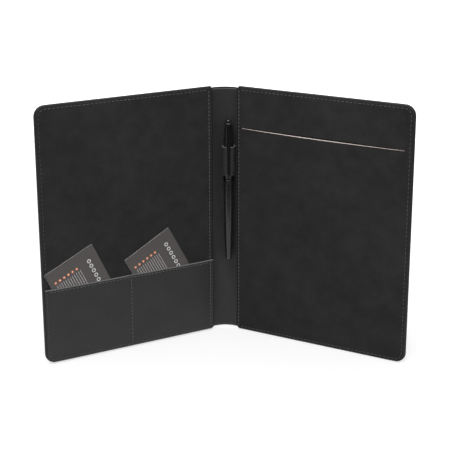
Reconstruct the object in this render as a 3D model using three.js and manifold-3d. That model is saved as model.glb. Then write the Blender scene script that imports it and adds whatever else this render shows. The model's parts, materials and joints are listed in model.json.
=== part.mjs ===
// An organizer folder that stands half open: two padded leather covers folded about a soft spine,
// a card pocket with two cards inside the left cover, a slit lining that takes a writing pad inside
// the right cover, and a capped pen in a leather loop on the spine.
// Millimetres, Z up. X runs along the spine's width, Y away from the open side.

import * as THREE from 'three';
import { mergeVertices } from 'three/addons/utils/BufferGeometryUtils.js';
import Module from 'manifold-3d';

// Driving dimensions: covers
const COVER_HEIGHT = 240;
const COVER_WIDTH = 174; // fold line to outer edge
const COVER_CORNER = 10;
const FOLD_CORNER = 1.5;
const EDGE_ROUND = 0.8;
const OPEN_TURN = 29.5; // degrees that each cover is turned forward from lying flat
const FOLD_SPACING = 25.4; // between the two fold lines
const FOLD_RELIEF = 1.15; // fold line to the cover's edge

// Driving dimensions: the layers of a cover, from the outside in
const SKIN = 0.8;
const FOAM = 0.8;
const BOARD = 1.5;
const FLANGE = 0.6;
const LINING = 0.6;
const GLUE = 0.1;
const FLANGE_WIDTH = 12;
const LINING_INSET = 1.8;

// Driving dimensions: spine
const SPINE_RISE = 4.6; // how far the spine bows back from the fold lines
const SPINE_SKIN = 0.9;
const SPINE_LINING = 0.7;
const SPINE_TRIM = 1.6;
const BEAD_RADIUS = 0.85;
const LINING_SHORTENING = 1.2;
const LINING_SETBACK = 4; // degrees of arc

// Driving dimensions: card pocket and cards
const POCKET_HEIGHT = 71.8;
const POCKET_WALL = 0.8;
const POCKET_ROUND = 0.3;
const SEAM_BORDER = 2.5;
const DIVIDER_AT = 87;
const DIVIDER_WIDTH = 2;
const CARD_LENGTH = 85;
const CARD_WIDTH = 52;
const CARD_THICKNESS = 0.5;
const CARD_CORNER = 0.6;
const CARD_CLEARANCE = 0.3;
const OUTER_CARD_LEAN = 25.4; // degrees
const INNER_CARD_LEAN = 28.5;
const OUTER_CARD_TOP = { across: 125.4, up: 108.5 };
const INNER_CARD_TOP = { across: 47.8, up: 111.6 };

// Driving dimensions: slit for the writing pad
const SLIT_START = 5.2;
const SLIT_BORDER = 8.5; // from its outer end to the cover's outer edge
const SLIT_BELOW_TOP = 39; // from the cover's top edge
const SLIT_DROP = 1.5; // how much lower its outer end lies
const SLIT_END_GAP = 0.5;
const SLIT_MIDDLE_GAP = 1.3;

// Driving dimensions: pen and its loop
const PEN_OFFSET = 3.3;
const PEN_BELOW_TOP = 31.2; // from the covers' top edges to the pen's top
const PEN_LENGTH = 135.8;
const PEN_RUNNING_GAP = 0.3;
const CAP_RADIUS = 4.95;
const CAP_WAIST_RADIUS = 4.7;
const CAP_TOP_RADIUS = 3.3;
const CAP_WALL = 0.6;
const CAP_LENGTH = 57.3; // mouth to the pen's top
const CAP_NECK = 15.8; // shoulder to the pen's top
const CAP_RING_LENGTH = 3.7;
const FINIAL_RADIUS = 3.2;
const FINIAL_HEIGHT = 1.6;
const STUD_RADIUS = 1.2;
const STUD_LENGTH = 4;
const LINER_WALL = 0.5;
const LINER_LENGTH = 16;
const CLIP_THICKNESS = 0.9;
const CLIP_TOP_WIDTH = 4.4;
const CLIP_TIP_WIDTH = 3.2;
const CLIP_LENGTH = 51.1;
const CLIP_FLARE = 0.7;
const BARREL_RADIUS = 4.45;
const BARREL_WALL = 1;
const BARREL_TAPER_FROM = 43.2;
const TAIL_RADIUS = 2.95;
const PLUG_HEAD = 1.8;
const PLUG_SPIGOT = 6;
const BARREL_RING_LENGTH = 1.4;
const SEAL_GAP = 3; // grip section to the cap's liner
const SECTION_SPIGOT = 10;
const SECTION_TIP_RADIUS = 3;
const NIB_LENGTH = 10;
const REFILL_RADIUS = 1.5;
const REFILL_TAIL = 14;
const POINT_RADIUS = 0.4;
const POINT_LENGTH = 1.2;
const PRESS_GAP = 0.1;
const LOOP_LEATHER = 0.9;
const LOOP_BELOW_TOP = 55.9; // from the covers' top edges to the loop's top edge
const LOOP_HEIGHT = 27.9;
const LOOP_TAIL_ACROSS = 9.3;

// Facets
const ARC_STEPS = 4;
const ROUND_STEPS = 3;
const LATHE_STEPS = 28;
const SPINE_STEPS = 16;

// Depths of the layers, measured across a cover from its middle; the inside is negative
const COVER_THICKNESS = SKIN + FOAM + BOARD + FLANGE + LINING + 4 * GLUE;
const SKIN_OUTSIDE = COVER_THICKNESS / 2;
const FOAM_OUTSIDE = SKIN_OUTSIDE - SKIN - GLUE;
const BOARD_OUTSIDE = FOAM_OUTSIDE - FOAM - GLUE;
const FLANGE_OUTSIDE = BOARD_OUTSIDE - BOARD - GLUE;
const LINING_OUTSIDE = FLANGE_OUTSIDE - FLANGE - GLUE;
const POCKET_BACK = LINING_OUTSIDE - LINING - GLUE;
const CARD_SPACE = CARD_THICKNESS + 2 * CARD_CLEARANCE - GLUE;
const POCKET_FRONT = POCKET_BACK - CARD_SPACE - POCKET_WALL;

// Spine arc, seen from above
const SPINE_RADIUS = ((FOLD_SPACING / 2) ** 2 + SPINE_RISE ** 2) / (2 * SPINE_RISE);
const SPINE_CENTRE = SPINE_RISE - SPINE_RADIUS;
const SPINE_HALF_ANGLE = Math.asin(FOLD_SPACING / 2 / SPINE_RADIUS);
const LINING_RADIUS = SPINE_RADIUS - SPINE_SKIN / 2 - GLUE;

// Sizes that follow the covers' edges
const SLIT_LENGTH = COVER_WIDTH - SLIT_START - SLIT_BORDER;
const SLIT_HEIGHT = COVER_HEIGHT - SLIT_BELOW_TOP;
const LOOP_TOP = COVER_HEIGHT - LOOP_BELOW_TOP;
const LOOP_BOTTOM = LOOP_TOP - LOOP_HEIGHT;

// Pen axis: its loop just clears the spine lining
const LOOP_BORE = CAP_RADIUS + PEN_RUNNING_GAP;
const LOOP_RADIUS = LOOP_BORE + LOOP_LEATHER;
const spineFace = (across) => SPINE_CENTRE + Math.sqrt((LINING_RADIUS - SPINE_LINING) ** 2 - across ** 2);
const LOOP_BACK_GAP = 0.5;
const PEN_DEPTH = spineFace(PEN_OFFSET) - LOOP_BACK_GAP - LOOP_RADIUS;

const wasm = await Module();
wasm.setup();

// Joining and cutting closed meshes

function solid(geometry) {
  const bare = geometry.clone();
  bare.deleteAttribute('normal');
  bare.deleteAttribute('uv');
  const welded = mergeVertices(bare, 1e-4);
  return new wasm.Manifold(new wasm.Mesh({
    numProp: 3,
    vertProperties: new Float32Array(welded.attributes.position.array),
    triVerts: new Uint32Array(welded.index.array),
  }));
}

function geometryOf(manifold) {
  const mesh = manifold.getMesh();
  const geometry = new THREE.BufferGeometry();
  geometry.setAttribute('position', new THREE.BufferAttribute(new Float32Array(mesh.vertProperties), 3));
  geometry.setIndex(new THREE.BufferAttribute(new Uint32Array(mesh.triVerts), 1));
  geometry.computeVertexNormals();
  return geometry;
}

function cut(body, ...tools) {
  return geometryOf(tools.reduce((left, tool) => left.subtract(solid(tool)), solid(body)));
}

function join(first, ...others) {
  return geometryOf(others.reduce((sum, other) => sum.add(solid(other)), solid(first)));
}

function overlapOf(first, second) {
  return geometryOf(solid(first).intersect(solid(second)));
}

// Basic forms

// A plate whose outline lies in X and Z, between two depths, with its edges softened by `round`.
function plate(outline, back, front, round = 0) {
  const geometry = new THREE.ExtrudeGeometry(outline, {
    depth: back - front - 2 * round,
    curveSegments: ARC_STEPS,
    bevelEnabled: round > 0,
    bevelThickness: round,
    bevelSize: round,
    bevelOffset: -round,
    bevelSegments: ROUND_STEPS,
  });
  geometry.translate(0, 0, round);
  geometry.rotateX(Math.PI / 2);
  geometry.translate(0, back, 0);
  return geometry;
}

// A solid whose outline lies in X and Y, between two heights.
function column(outline, bottom, top, curveSegments = ARC_STEPS) {
  const geometry = new THREE.ExtrudeGeometry(outline, {
    depth: top - bottom,
    curveSegments,
    bevelEnabled: false,
  });
  geometry.translate(0, 0, bottom);
  return geometry;
}

// A turned solid from [radius, height] pairs that run up the outside and down the inside.
function turned(profile) {
  const points = profile.map(([radius, height]) => new THREE.Vector2(radius, height));
  const geometry = new THREE.LatheGeometry(points, LATHE_STEPS);
  geometry.rotateX(Math.PI / 2);
  return geometry;
}

// A rectangle whose two sides may have corners of different radius.
function roundedPanel(left, right, bottom, top, leftRadius, rightRadius) {
  const quarter = Math.PI / 2;
  const shape = new THREE.Shape();
  shape.moveTo(left + leftRadius, bottom);
  shape.lineTo(right - rightRadius, bottom);
  shape.absarc(right - rightRadius, bottom + rightRadius, rightRadius, -quarter, 0);
  shape.lineTo(right, top - rightRadius);
  shape.absarc(right - rightRadius, top - rightRadius, rightRadius, 0, quarter);
  shape.lineTo(left + leftRadius, top);
  shape.absarc(left + leftRadius, top - leftRadius, leftRadius, quarter, 2 * quarter);
  shape.lineTo(left, bottom + leftRadius);
  shape.absarc(left + leftRadius, bottom + leftRadius, leftRadius, 2 * quarter, 3 * quarter);
  return shape;
}

// The same outline for the left cover, which runs from its fold line towards -X.
function toSide(shape, side) {
  if (side > 0) return shape;
  return new THREE.Shape(shape.getPoints(ARC_STEPS).map((point) => new THREE.Vector2(-point.x, point.y)));
}

// A cover's outline drawn in by `inset` on every side.
function coverOutline(inset, side) {
  const shape = roundedPanel(
    FOLD_RELIEF + inset,
    COVER_WIDTH - inset,
    inset,
    COVER_HEIGHT - inset,
    Math.max(FOLD_CORNER - inset, 0.3),
    Math.max(COVER_CORNER - inset, 0.3),
  );
  return toSide(shape, side);
}

// Cover layers

// Outer leather: a shallow tray whose edges are turned in over the board.
function coverSkin(side) {
  const body = plate(coverOutline(0, side), SKIN_OUTSIDE, FLANGE_OUTSIDE - FLANGE, EDGE_ROUND);
  const hollow = plate(coverOutline(SKIN, side), SKIN_OUTSIDE - SKIN, FLANGE_OUTSIDE);
  const window = plate(coverOutline(FLANGE_WIDTH, side), SKIN_OUTSIDE - SKIN, FLANGE_OUTSIDE - 2 * FLANGE);
  return cut(body, hollow, window);
}

function foamSheet(side) {
  return plate(coverOutline(SKIN + GLUE, side), FOAM_OUTSIDE, FOAM_OUTSIDE - FOAM);
}

function coverBoard(side) {
  return plate(coverOutline(SKIN + GLUE, side), BOARD_OUTSIDE, BOARD_OUTSIDE - BOARD);
}

function infillSheet(side) {
  return plate(coverOutline(FLANGE_WIDTH + CARD_CLEARANCE, side), FLANGE_OUTSIDE, FLANGE_OUTSIDE - FLANGE);
}

function liningSheet(side) {
  return plate(coverOutline(LINING_INSET, side), LINING_OUTSIDE, LINING_OUTSIDE - LINING);
}

// The slit is a long thin lens, wider in the middle where the suede has relaxed.
function slitOutline() {
  const end = SLIT_START + SLIT_LENGTH;
  const middle = SLIT_START + SLIT_LENGTH / 2;
  const low = SLIT_HEIGHT - SLIT_DROP;
  const centre = SLIT_HEIGHT - SLIT_DROP / 2;
  const half = SLIT_END_GAP / 2;
  const swell = SLIT_MIDDLE_GAP - half;
  const shape = new THREE.Shape();
  shape.moveTo(SLIT_START, SLIT_HEIGHT - half);
  shape.quadraticCurveTo(middle, centre - swell, end, low - half);
  shape.lineTo(end, low + half);
  shape.quadraticCurveTo(middle, centre + swell, SLIT_START, SLIT_HEIGHT + half);
  return shape;
}

function rightLining() {
  const slit = plate(slitOutline(), LINING_OUTSIDE + LINING, LINING_OUTSIDE - 2 * LINING);
  return cut(liningSheet(1), slit);
}

// Card pocket: a front wall sewn down along its sides, its bottom and a divider, open at the top.
function cardPocket() {
  const outline = roundedPanel(
    FOLD_RELIEF + LINING_INSET,
    COVER_WIDTH - LINING_INSET,
    LINING_INSET,
    POCKET_HEIGHT + COVER_CORNER,
    FOLD_CORNER / 2,
    COVER_CORNER - LINING_INSET,
  );
  const front = plate(toSide(outline, -1), POCKET_BACK, POCKET_FRONT, POCKET_ROUND);
  const above = plate(
    toSide(roundedPanel(0, COVER_WIDTH, POCKET_HEIGHT, POCKET_HEIGHT + 2 * COVER_CORNER, 1, 1), -1),
    POCKET_BACK + POCKET_WALL,
    POCKET_FRONT - POCKET_WALL,
  );
  const left = FOLD_RELIEF + LINING_INSET + SEAM_BORDER;
  const right = COVER_WIDTH - LINING_INSET - SEAM_BORDER;
  const bays = [
    [left, DIVIDER_AT - DIVIDER_WIDTH / 2, FOLD_CORNER],
    [DIVIDER_AT + DIVIDER_WIDTH / 2, right, COVER_CORNER - LINING_INSET - SEAM_BORDER],
  ].map(([from, to, radius]) => {
    const bay = roundedPanel(
      from, to, LINING_INSET + SEAM_BORDER, POCKET_HEIGHT + COVER_CORNER, FOLD_CORNER, radius,
    );
    return plate(toSide(bay, -1), POCKET_BACK + POCKET_WALL, POCKET_BACK - CARD_SPACE);
  });
  return cut(front, above, ...bays);
}

// A card hangs from its upper corner nearest the spine; its long side leans towards the outer edge.
function card(top, lean) {
  const shape = roundedPanel(0, CARD_WIDTH, -CARD_LENGTH, 0, CARD_CORNER, CARD_CORNER);
  const back = POCKET_BACK + GLUE - CARD_CLEARANCE;
  const geometry = plate(toSide(shape, -1), back, back - CARD_THICKNESS);
  geometry.rotateY(THREE.MathUtils.degToRad(-lean));
  geometry.translate(-top.across, 0, top.up);
  return geometry;
}

// Spine

// A strip of leather bent to the spine's arc, drawn from above.
function spineStrip(outerRadius, thickness, halfAngle) {
  const from = Math.PI / 2 - halfAngle;
  const to = Math.PI / 2 + halfAngle;
  const shape = new THREE.Shape();
  shape.absarc(0, SPINE_CENTRE, outerRadius, from, to);
  shape.absarc(0, SPINE_CENTRE, outerRadius - thickness, to, from, true);
  return shape;
}

// The spine leather ends in a rounded bead on each fold line, where the cover swings.
function spineCover() {
  const bottom = SPINE_TRIM;
  const top = COVER_HEIGHT - SPINE_TRIM;
  const shape = spineStrip(SPINE_RADIUS + SPINE_SKIN / 2, SPINE_SKIN, SPINE_HALF_ANGLE);
  const beads = [-1, 1].map((side) => {
    const bead = new THREE.CylinderGeometry(BEAD_RADIUS, BEAD_RADIUS, top - bottom, SPINE_STEPS);
    bead.rotateX(Math.PI / 2);
    bead.translate(side * FOLD_SPACING / 2, 0, (top + bottom) / 2);
    return bead;
  });
  return join(column(shape, bottom, top, SPINE_STEPS / 2), ...beads);
}

function spineLining() {
  const halfAngle = SPINE_HALF_ANGLE - THREE.MathUtils.degToRad(LINING_SETBACK);
  const bottom = SPINE_TRIM + LINING_SHORTENING;
  return column(
    spineStrip(LINING_RADIUS, SPINE_LINING, halfAngle), bottom, COVER_HEIGHT - bottom, SPINE_STEPS / 2,
  );
}

// The outline of a strap that wraps a round pen and closes at its sewn tail: two circles and
// the straight lines that touch both.
function teardrop(radius, tailRadius, tail) {
  const toTail = Math.atan2(tail.y - PEN_DEPTH, tail.x - PEN_OFFSET);
  const reach = Math.hypot(tail.x - PEN_OFFSET, tail.y - PEN_DEPTH);
  const spread = Math.acos((radius - tailRadius) / reach);
  const shape = new THREE.Shape();
  shape.absarc(PEN_OFFSET, PEN_DEPTH, radius, toTail + spread, toTail - spread + 2 * Math.PI);
  shape.absarc(tail.x, tail.y, tailRadius, toTail - spread, toTail + spread);
  return shape;
}

function penLoop() {
  const tail = {
    x: LOOP_TAIL_ACROSS,
    y: spineFace(LOOP_TAIL_ACROSS) - LOOP_LEATHER - PEN_RUNNING_GAP,
  };
  const strap = column(
    teardrop(LOOP_RADIUS, LOOP_LEATHER, tail), LOOP_BOTTOM, LOOP_TOP, 2 * ARC_STEPS,
  );
  const bore = column(
    teardrop(LOOP_BORE, GLUE / 2, tail), LOOP_BOTTOM - LOOP_LEATHER, LOOP_TOP + LOOP_LEATHER, 2 * ARC_STEPS,
  );
  return cut(strap, bore);
}

// Pen, drawn with its tail end at height 0 and its axis on Z

const CAP_MOUTH = PEN_LENGTH - CAP_LENGTH;
const CAP_SHOULDER = PEN_LENGTH - CAP_NECK;
const CLIP_RING_TOP = PEN_LENGTH - FINIAL_HEIGHT - PRESS_GAP;
const CAP_TOP = CLIP_RING_TOP - CLIP_THICKNESS - PRESS_GAP;
const CAP_BOTTOM = CAP_MOUTH + CAP_RING_LENGTH + PRESS_GAP;
const BARREL_TOP = CAP_MOUTH - PEN_RUNNING_GAP;
const SECTION_BOTTOM = BARREL_TOP + PRESS_GAP + BARREL_RING_LENGTH + PRESS_GAP;
const LINER_TOP = CAP_TOP - 2 * CAP_WALL - STUD_LENGTH / 2;
const LINER_BOTTOM = LINER_TOP - LINER_LENGTH;
const SECTION_TOP = LINER_BOTTOM - SEAL_GAP;
const SECTION_LENGTH = SECTION_TOP - SECTION_BOTTOM;
const BARREL_BORE = BARREL_RADIUS - BARREL_WALL;
const TAIL_BORE = TAIL_RADIUS - BARREL_WALL;
const COLLAR_RADIUS = Math.min(BARREL_RADIUS, CAP_RADIUS - CAP_WALL - PEN_RUNNING_GAP);
const SECTION_RADIUS = COLLAR_RADIUS - PEN_RUNNING_GAP;
const LINER_RADIUS = CAP_TOP_RADIUS - CAP_WALL + PRESS_GAP;
const CLIP_REACH = LOOP_RADIUS + PEN_RUNNING_GAP;

function capTube() {
  return turned([
    [CAP_RADIUS, CAP_BOTTOM],
    [CAP_WAIST_RADIUS, CAP_SHOULDER - 10],
    [CAP_WAIST_RADIUS - 0.3, CAP_SHOULDER],
    [CAP_TOP_RADIUS + 0.2, CAP_TOP - 1.2],
    [CAP_TOP_RADIUS - 0.3, CAP_TOP],
    [STUD_RADIUS + PRESS_GAP, CAP_TOP],
    [STUD_RADIUS + PRESS_GAP, CAP_TOP - 2 * CAP_WALL],
    [CAP_TOP_RADIUS - CAP_WALL + 0.2, CAP_TOP - 2 * CAP_WALL],
    [CAP_WAIST_RADIUS - 0.3 - CAP_WALL, CAP_SHOULDER],
    [CAP_RADIUS - CAP_WALL, CAP_BOTTOM],
    [CAP_RADIUS, CAP_BOTTOM],
  ]);
}

// Gloss ring that closes the cap's mouth.
function capRing() {
  const top = CAP_MOUTH + CAP_RING_LENGTH;
  const bore = CAP_RADIUS - CAP_WALL;
  return turned([
    [bore, CAP_MOUTH],
    [CAP_RADIUS - 0.2, CAP_MOUTH],
    [CAP_RADIUS, CAP_MOUTH + 0.3],
    [CAP_RADIUS, CAP_MOUTH + 0.7],
    [CAP_RADIUS - 0.25, CAP_MOUTH + 0.9],
    [CAP_RADIUS - 0.25, top],
    [bore, top],
    [bore, CAP_MOUTH],
  ]);
}

// Inner cap that seals round the nib.
function capLiner() {
  return turned([
    [LINER_RADIUS - LINER_WALL, LINER_BOTTOM],
    [LINER_RADIUS, LINER_BOTTOM],
    [LINER_RADIUS, LINER_TOP],
    [LINER_RADIUS - LINER_WALL, LINER_TOP],
    [LINER_RADIUS - LINER_WALL, LINER_BOTTOM],
  ]);
}

// Clip: a washer held under the finial, and a sprung arm that runs down outside the loop.
function penClip() {
  const washer = turned([
    [STUD_RADIUS + PRESS_GAP, CLIP_RING_TOP - CLIP_THICKNESS],
    [FINIAL_RADIUS - 0.2, CLIP_RING_TOP - CLIP_THICKNESS],
    [FINIAL_RADIUS - 0.2, CLIP_RING_TOP],
    [STUD_RADIUS + PRESS_GAP, CLIP_RING_TOP],
    [STUD_RADIUS + PRESS_GAP, CLIP_RING_TOP - CLIP_THICKNESS],
  ]);
  const bend = 2 * CLIP_THICKNESS;
  const outside = CLIP_REACH + CLIP_THICKNESS;
  const tip = CLIP_RING_TOP - CLIP_LENGTH;
  const side = new THREE.Shape();
  side.moveTo(STUD_RADIUS + CLIP_THICKNESS, CLIP_RING_TOP - CLIP_THICKNESS);
  side.lineTo(CLIP_REACH - bend / 2, CLIP_RING_TOP - CLIP_THICKNESS);
  side.quadraticCurveTo(
    CLIP_REACH, CLIP_RING_TOP - CLIP_THICKNESS, CLIP_REACH, CLIP_RING_TOP - CLIP_THICKNESS - bend / 2,
  );
  side.lineTo(CLIP_REACH, tip + 3 * CLIP_FLARE);
  side.quadraticCurveTo(CLIP_REACH, tip + CLIP_FLARE, CLIP_REACH + CLIP_FLARE, tip);
  side.lineTo(outside + CLIP_FLARE, tip + CLIP_THICKNESS / 2);
  side.quadraticCurveTo(outside, tip + 2 * CLIP_FLARE, outside, tip + 5 * CLIP_FLARE);
  side.lineTo(outside, CLIP_RING_TOP - bend);
  side.quadraticCurveTo(outside, CLIP_RING_TOP, outside - bend, CLIP_RING_TOP);
  side.lineTo(STUD_RADIUS + CLIP_THICKNESS, CLIP_RING_TOP);
  const arm = new THREE.ExtrudeGeometry(side, {
    depth: CLIP_TOP_WIDTH,
    curveSegments: ARC_STEPS,
    bevelEnabled: false,
  });
  arm.translate(0, 0, -CLIP_TOP_WIDTH / 2);
  arm.rotateX(Math.PI / 2);
  arm.rotateZ(-Math.PI / 2);
  const face = new THREE.Shape();
  face.moveTo(-CLIP_TIP_WIDTH / 2, tip - 1);
  face.lineTo(CLIP_TIP_WIDTH / 2, tip - 1);
  face.lineTo(CLIP_TOP_WIDTH / 2, CLIP_RING_TOP - bend);
  face.lineTo(CLIP_TOP_WIDTH / 2, CLIP_RING_TOP + 1);
  face.lineTo(-CLIP_TOP_WIDTH / 2, CLIP_RING_TOP + 1);
  face.lineTo(-CLIP_TOP_WIDTH / 2, CLIP_RING_TOP - bend);
  const trimmed = overlapOf(arm, plate(face, 0, -outside - 2 * CLIP_FLARE));
  return join(washer, trimmed);
}

function finial() {
  const bottom = PEN_LENGTH - FINIAL_HEIGHT;
  return turned([
    [0, CAP_TOP - STUD_LENGTH],
    [STUD_RADIUS, CAP_TOP - STUD_LENGTH],
    [STUD_RADIUS, bottom],
    [FINIAL_RADIUS - 0.3, bottom],
    [FINIAL_RADIUS, bottom + 0.4],
    [FINIAL_RADIUS, PEN_LENGTH - 1],
    [FINIAL_RADIUS - 0.35, PEN_LENGTH - 0.4],
    [FINIAL_RADIUS - 1.2, PEN_LENGTH - 0.1],
    [0, PEN_LENGTH],
  ]);
}

function barrel() {
  const bottom = PLUG_HEAD + PRESS_GAP;
  return turned([
    [TAIL_RADIUS, bottom],
    [TAIL_RADIUS + (BARREL_RADIUS - TAIL_RADIUS) * 0.6, BARREL_TAPER_FROM / 2],
    [BARREL_RADIUS, BARREL_TAPER_FROM],
    [BARREL_RADIUS, BARREL_TOP],
    [BARREL_BORE, BARREL_TOP],
    [BARREL_BORE, BARREL_TAPER_FROM],
    [TAIL_BORE, bottom],
    [TAIL_RADIUS, bottom],
  ]);
}

// Plug that closes the barrel's tail.
function endPlug() {
  const radius = TAIL_BORE - PRESS_GAP;
  return turned([
    [0, 0],
    [TAIL_RADIUS - 0.8, 0],
    [TAIL_RADIUS - 0.25, 0.4],
    [TAIL_RADIUS, 1],
    [TAIL_RADIUS, PLUG_HEAD],
    [radius, PLUG_HEAD],
    [radius, PLUG_HEAD + PLUG_SPIGOT],
    [0, PLUG_HEAD + PLUG_SPIGOT],
  ]);
}

function barrelRing() {
  const bottom = BARREL_TOP + PRESS_GAP;
  const top = bottom + BARREL_RING_LENGTH;
  const bore = BARREL_BORE + PRESS_GAP;
  return turned([
    [bore, bottom],
    [COLLAR_RADIUS - 0.1, bottom],
    [COLLAR_RADIUS, (bottom + top) / 2],
    [COLLAR_RADIUS - 0.1, top],
    [bore, top],
    [bore, bottom],
  ]);
}

// Grip: its spigot plugs into the barrel, and the refill passes through it.
function gripSection() {
  const spigot = BARREL_BORE - PRESS_GAP;
  const bore = REFILL_RADIUS + PEN_RUNNING_GAP;
  return turned([
    [bore, SECTION_BOTTOM - SECTION_SPIGOT],
    [spigot, SECTION_BOTTOM - SECTION_SPIGOT],
    [spigot, SECTION_BOTTOM],
    [SECTION_RADIUS, SECTION_BOTTOM],
    [SECTION_RADIUS, SECTION_BOTTOM + SECTION_LENGTH / 3],
    [SECTION_TIP_RADIUS, SECTION_TOP],
    [bore, SECTION_TOP],
    [bore, SECTION_BOTTOM - SECTION_SPIGOT],
  ]);
}

const NIB_BOTTOM = SECTION_TOP + PRESS_GAP;
const NIB_RADIUS = Math.min(SECTION_TIP_RADIUS, LINER_RADIUS - LINER_WALL - PRESS_GAP);
const REFILL_SHOULDER = NIB_BOTTOM - PRESS_GAP;

function nibCone() {
  const top = NIB_BOTTOM + NIB_LENGTH;
  const bore = POINT_RADIUS + PRESS_GAP;
  return turned([
    [bore, NIB_BOTTOM],
    [NIB_RADIUS, NIB_BOTTOM],
    [NIB_RADIUS - 0.1, NIB_BOTTOM + 0.5],
    [bore + 0.4, top],
    [bore, top],
    [bore, NIB_BOTTOM],
  ]);
}

function refill() {
  return turned([
    [0, REFILL_TAIL],
    [REFILL_RADIUS, REFILL_TAIL],
    [REFILL_RADIUS, REFILL_SHOULDER],
    [POINT_RADIUS, REFILL_SHOULDER],
    [POINT_RADIUS, NIB_BOTTOM + NIB_LENGTH + POINT_LENGTH / 2],
    [0, NIB_BOTTOM + NIB_LENGTH + POINT_LENGTH],
  ]);
}

// Finishes

const leather = (color, roughness) => new THREE.MeshStandardMaterial({ color, roughness, metalness: 0 });
const outerLeather = leather(0x2a2a2c, 0.55);
const smoothLeather = leather(0x38383b, 0.55);
const suede = leather(0x2e2e30, 0.95);
const foamStuff = leather(0x8f8f8a, 0.95);
const boardStuff = leather(0x7c6f5c, 0.9);
const cardStock = leather(0x2b2422, 0.6);
const glossBlack = leather(0x0b0b0c, 0.2);
const satinBlack = leather(0x141416, 0.4);
const plainPlastic = leather(0x8a8a88, 0.45);
const darkMetal = new THREE.MeshStandardMaterial({ color: 0x1c1c1e, roughness: 0.28, metalness: 0.8 });
const brightMetal = new THREE.MeshStandardMaterial({ color: 0xb0b0b4, roughness: 0.25, metalness: 1 });

function named(name, geometry, material) {
  const mesh = new THREE.Mesh(geometry, material);
  mesh.name = name;
  return mesh;
}

// Assembly

function cover(side) {
  const group = new THREE.Group();
  group.position.x = side * FOLD_SPACING / 2;
  group.rotation.z = -side * THREE.MathUtils.degToRad(OPEN_TURN);
  const label = side < 0 ? 'left' : 'right';
  group.add(
    named(`${label}_cover_skin`, coverSkin(side), outerLeather),
    named(`${label}_foam`, foamSheet(side), foamStuff),
    named(`${label}_board`, coverBoard(side), boardStuff),
  );
  return group;
}

const leftCover = cover(-1);
leftCover.add(
  named('left_infill', infillSheet(-1), boardStuff),
  named('left_lining', liningSheet(-1), suede),
  named('card_pocket', cardPocket(), smoothLeather),
  named('outer_card', card(OUTER_CARD_TOP, OUTER_CARD_LEAN), cardStock),
  named('inner_card', card(INNER_CARD_TOP, INNER_CARD_LEAN), cardStock),
);

const rightCover = cover(1);
rightCover.add(named('right_lining', rightLining(), suede));

const spine = new THREE.Group();
spine.add(
  named('spine_cover', spineCover(), outerLeather),
  named('spine_lining', spineLining(), smoothLeather),
  named('pen_loop', penLoop(), smoothLeather),
);

const pen = new THREE.Group();
pen.position.set(PEN_OFFSET, PEN_DEPTH, COVER_HEIGHT - PEN_BELOW_TOP - PEN_LENGTH);
pen.add(
  named('cap_tube', capTube(), satinBlack),
  named('cap_ring', capRing(), darkMetal),
  named('cap_liner', capLiner(), plainPlastic),
  named('pen_clip', penClip(), darkMetal),
  named('finial', finial(), glossBlack),
  named('barrel', barrel(), satinBlack),
  named('barrel_ring', barrelRing(), darkMetal),
  named('grip_section', gripSection(), glossBlack),
  named('nib_cone', nibCone(), darkMetal),
  named('refill', refill(), brightMetal),
  named('end_plug', endPlug(), glossBlack),
);

const folder = new THREE.Group();
folder.add(leftCover, rightCover, spine, pen);

// The origin is on the standing surface, in the middle of the folder's box.
folder.updateMatrixWorld(true);
const box = new THREE.Box3().setFromObject(folder, true);
folder.position.set(-(box.min.x + box.max.x) / 2, -(box.min.y + box.max.y) / 2, -box.min.z);
folder.updateMatrixWorld(true);

export default folder;
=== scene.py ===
"""Leather organizer folder: finished surfaces, threads, printed cards, pen, lights and camera.

Lengths are metres. The covers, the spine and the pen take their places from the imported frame.
"""

import json
import math

import bpy
import numpy as np
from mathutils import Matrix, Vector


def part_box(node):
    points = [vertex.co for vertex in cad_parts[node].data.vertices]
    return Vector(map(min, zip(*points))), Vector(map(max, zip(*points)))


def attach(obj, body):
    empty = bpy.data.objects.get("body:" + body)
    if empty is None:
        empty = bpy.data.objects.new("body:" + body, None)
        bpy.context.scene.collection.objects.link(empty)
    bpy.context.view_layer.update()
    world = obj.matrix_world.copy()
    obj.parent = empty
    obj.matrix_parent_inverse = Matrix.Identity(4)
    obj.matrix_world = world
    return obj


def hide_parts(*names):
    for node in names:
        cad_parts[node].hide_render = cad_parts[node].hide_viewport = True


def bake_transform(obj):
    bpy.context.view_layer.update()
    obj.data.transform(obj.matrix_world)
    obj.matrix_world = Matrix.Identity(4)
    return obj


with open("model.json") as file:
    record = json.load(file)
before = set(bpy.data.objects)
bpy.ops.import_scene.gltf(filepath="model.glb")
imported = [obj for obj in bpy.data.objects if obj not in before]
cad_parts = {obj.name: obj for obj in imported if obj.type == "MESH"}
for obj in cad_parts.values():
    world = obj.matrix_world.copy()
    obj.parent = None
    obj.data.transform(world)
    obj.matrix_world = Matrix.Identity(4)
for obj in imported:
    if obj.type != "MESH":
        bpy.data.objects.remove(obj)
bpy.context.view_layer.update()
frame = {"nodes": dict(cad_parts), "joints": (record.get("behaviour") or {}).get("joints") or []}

bl_info = {
    "name": "Organizer Folder Finish",
    "version": (1, 0, 0),
    "blender": (4, 5, 0),
    "location": "View3D > Sidebar > Folder",
    "description": "Builds the leather, suede, threads, cards and pen of an organizer folder",
    "category": "Object",
}

MM = 0.001
JOINTS = {joint["name"]: joint for joint in frame["joints"]}
UP = np.array([0.0, 0.0, 1.0])


# Places read from the frame


def corners(node):
    """All corners of a CAD node as an array of points."""
    mesh = frame["nodes"][node].data
    flat = np.empty(len(mesh.vertices) * 3)
    mesh.vertices.foreach_get("co", flat)
    return flat.reshape(-1, 3)


def spread(node, origin, direction):
    """Least and greatest distance of a CAD node's corners from origin, along direction."""
    along = (corners(node) - origin) @ direction
    return along.min(), along.max()


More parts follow.
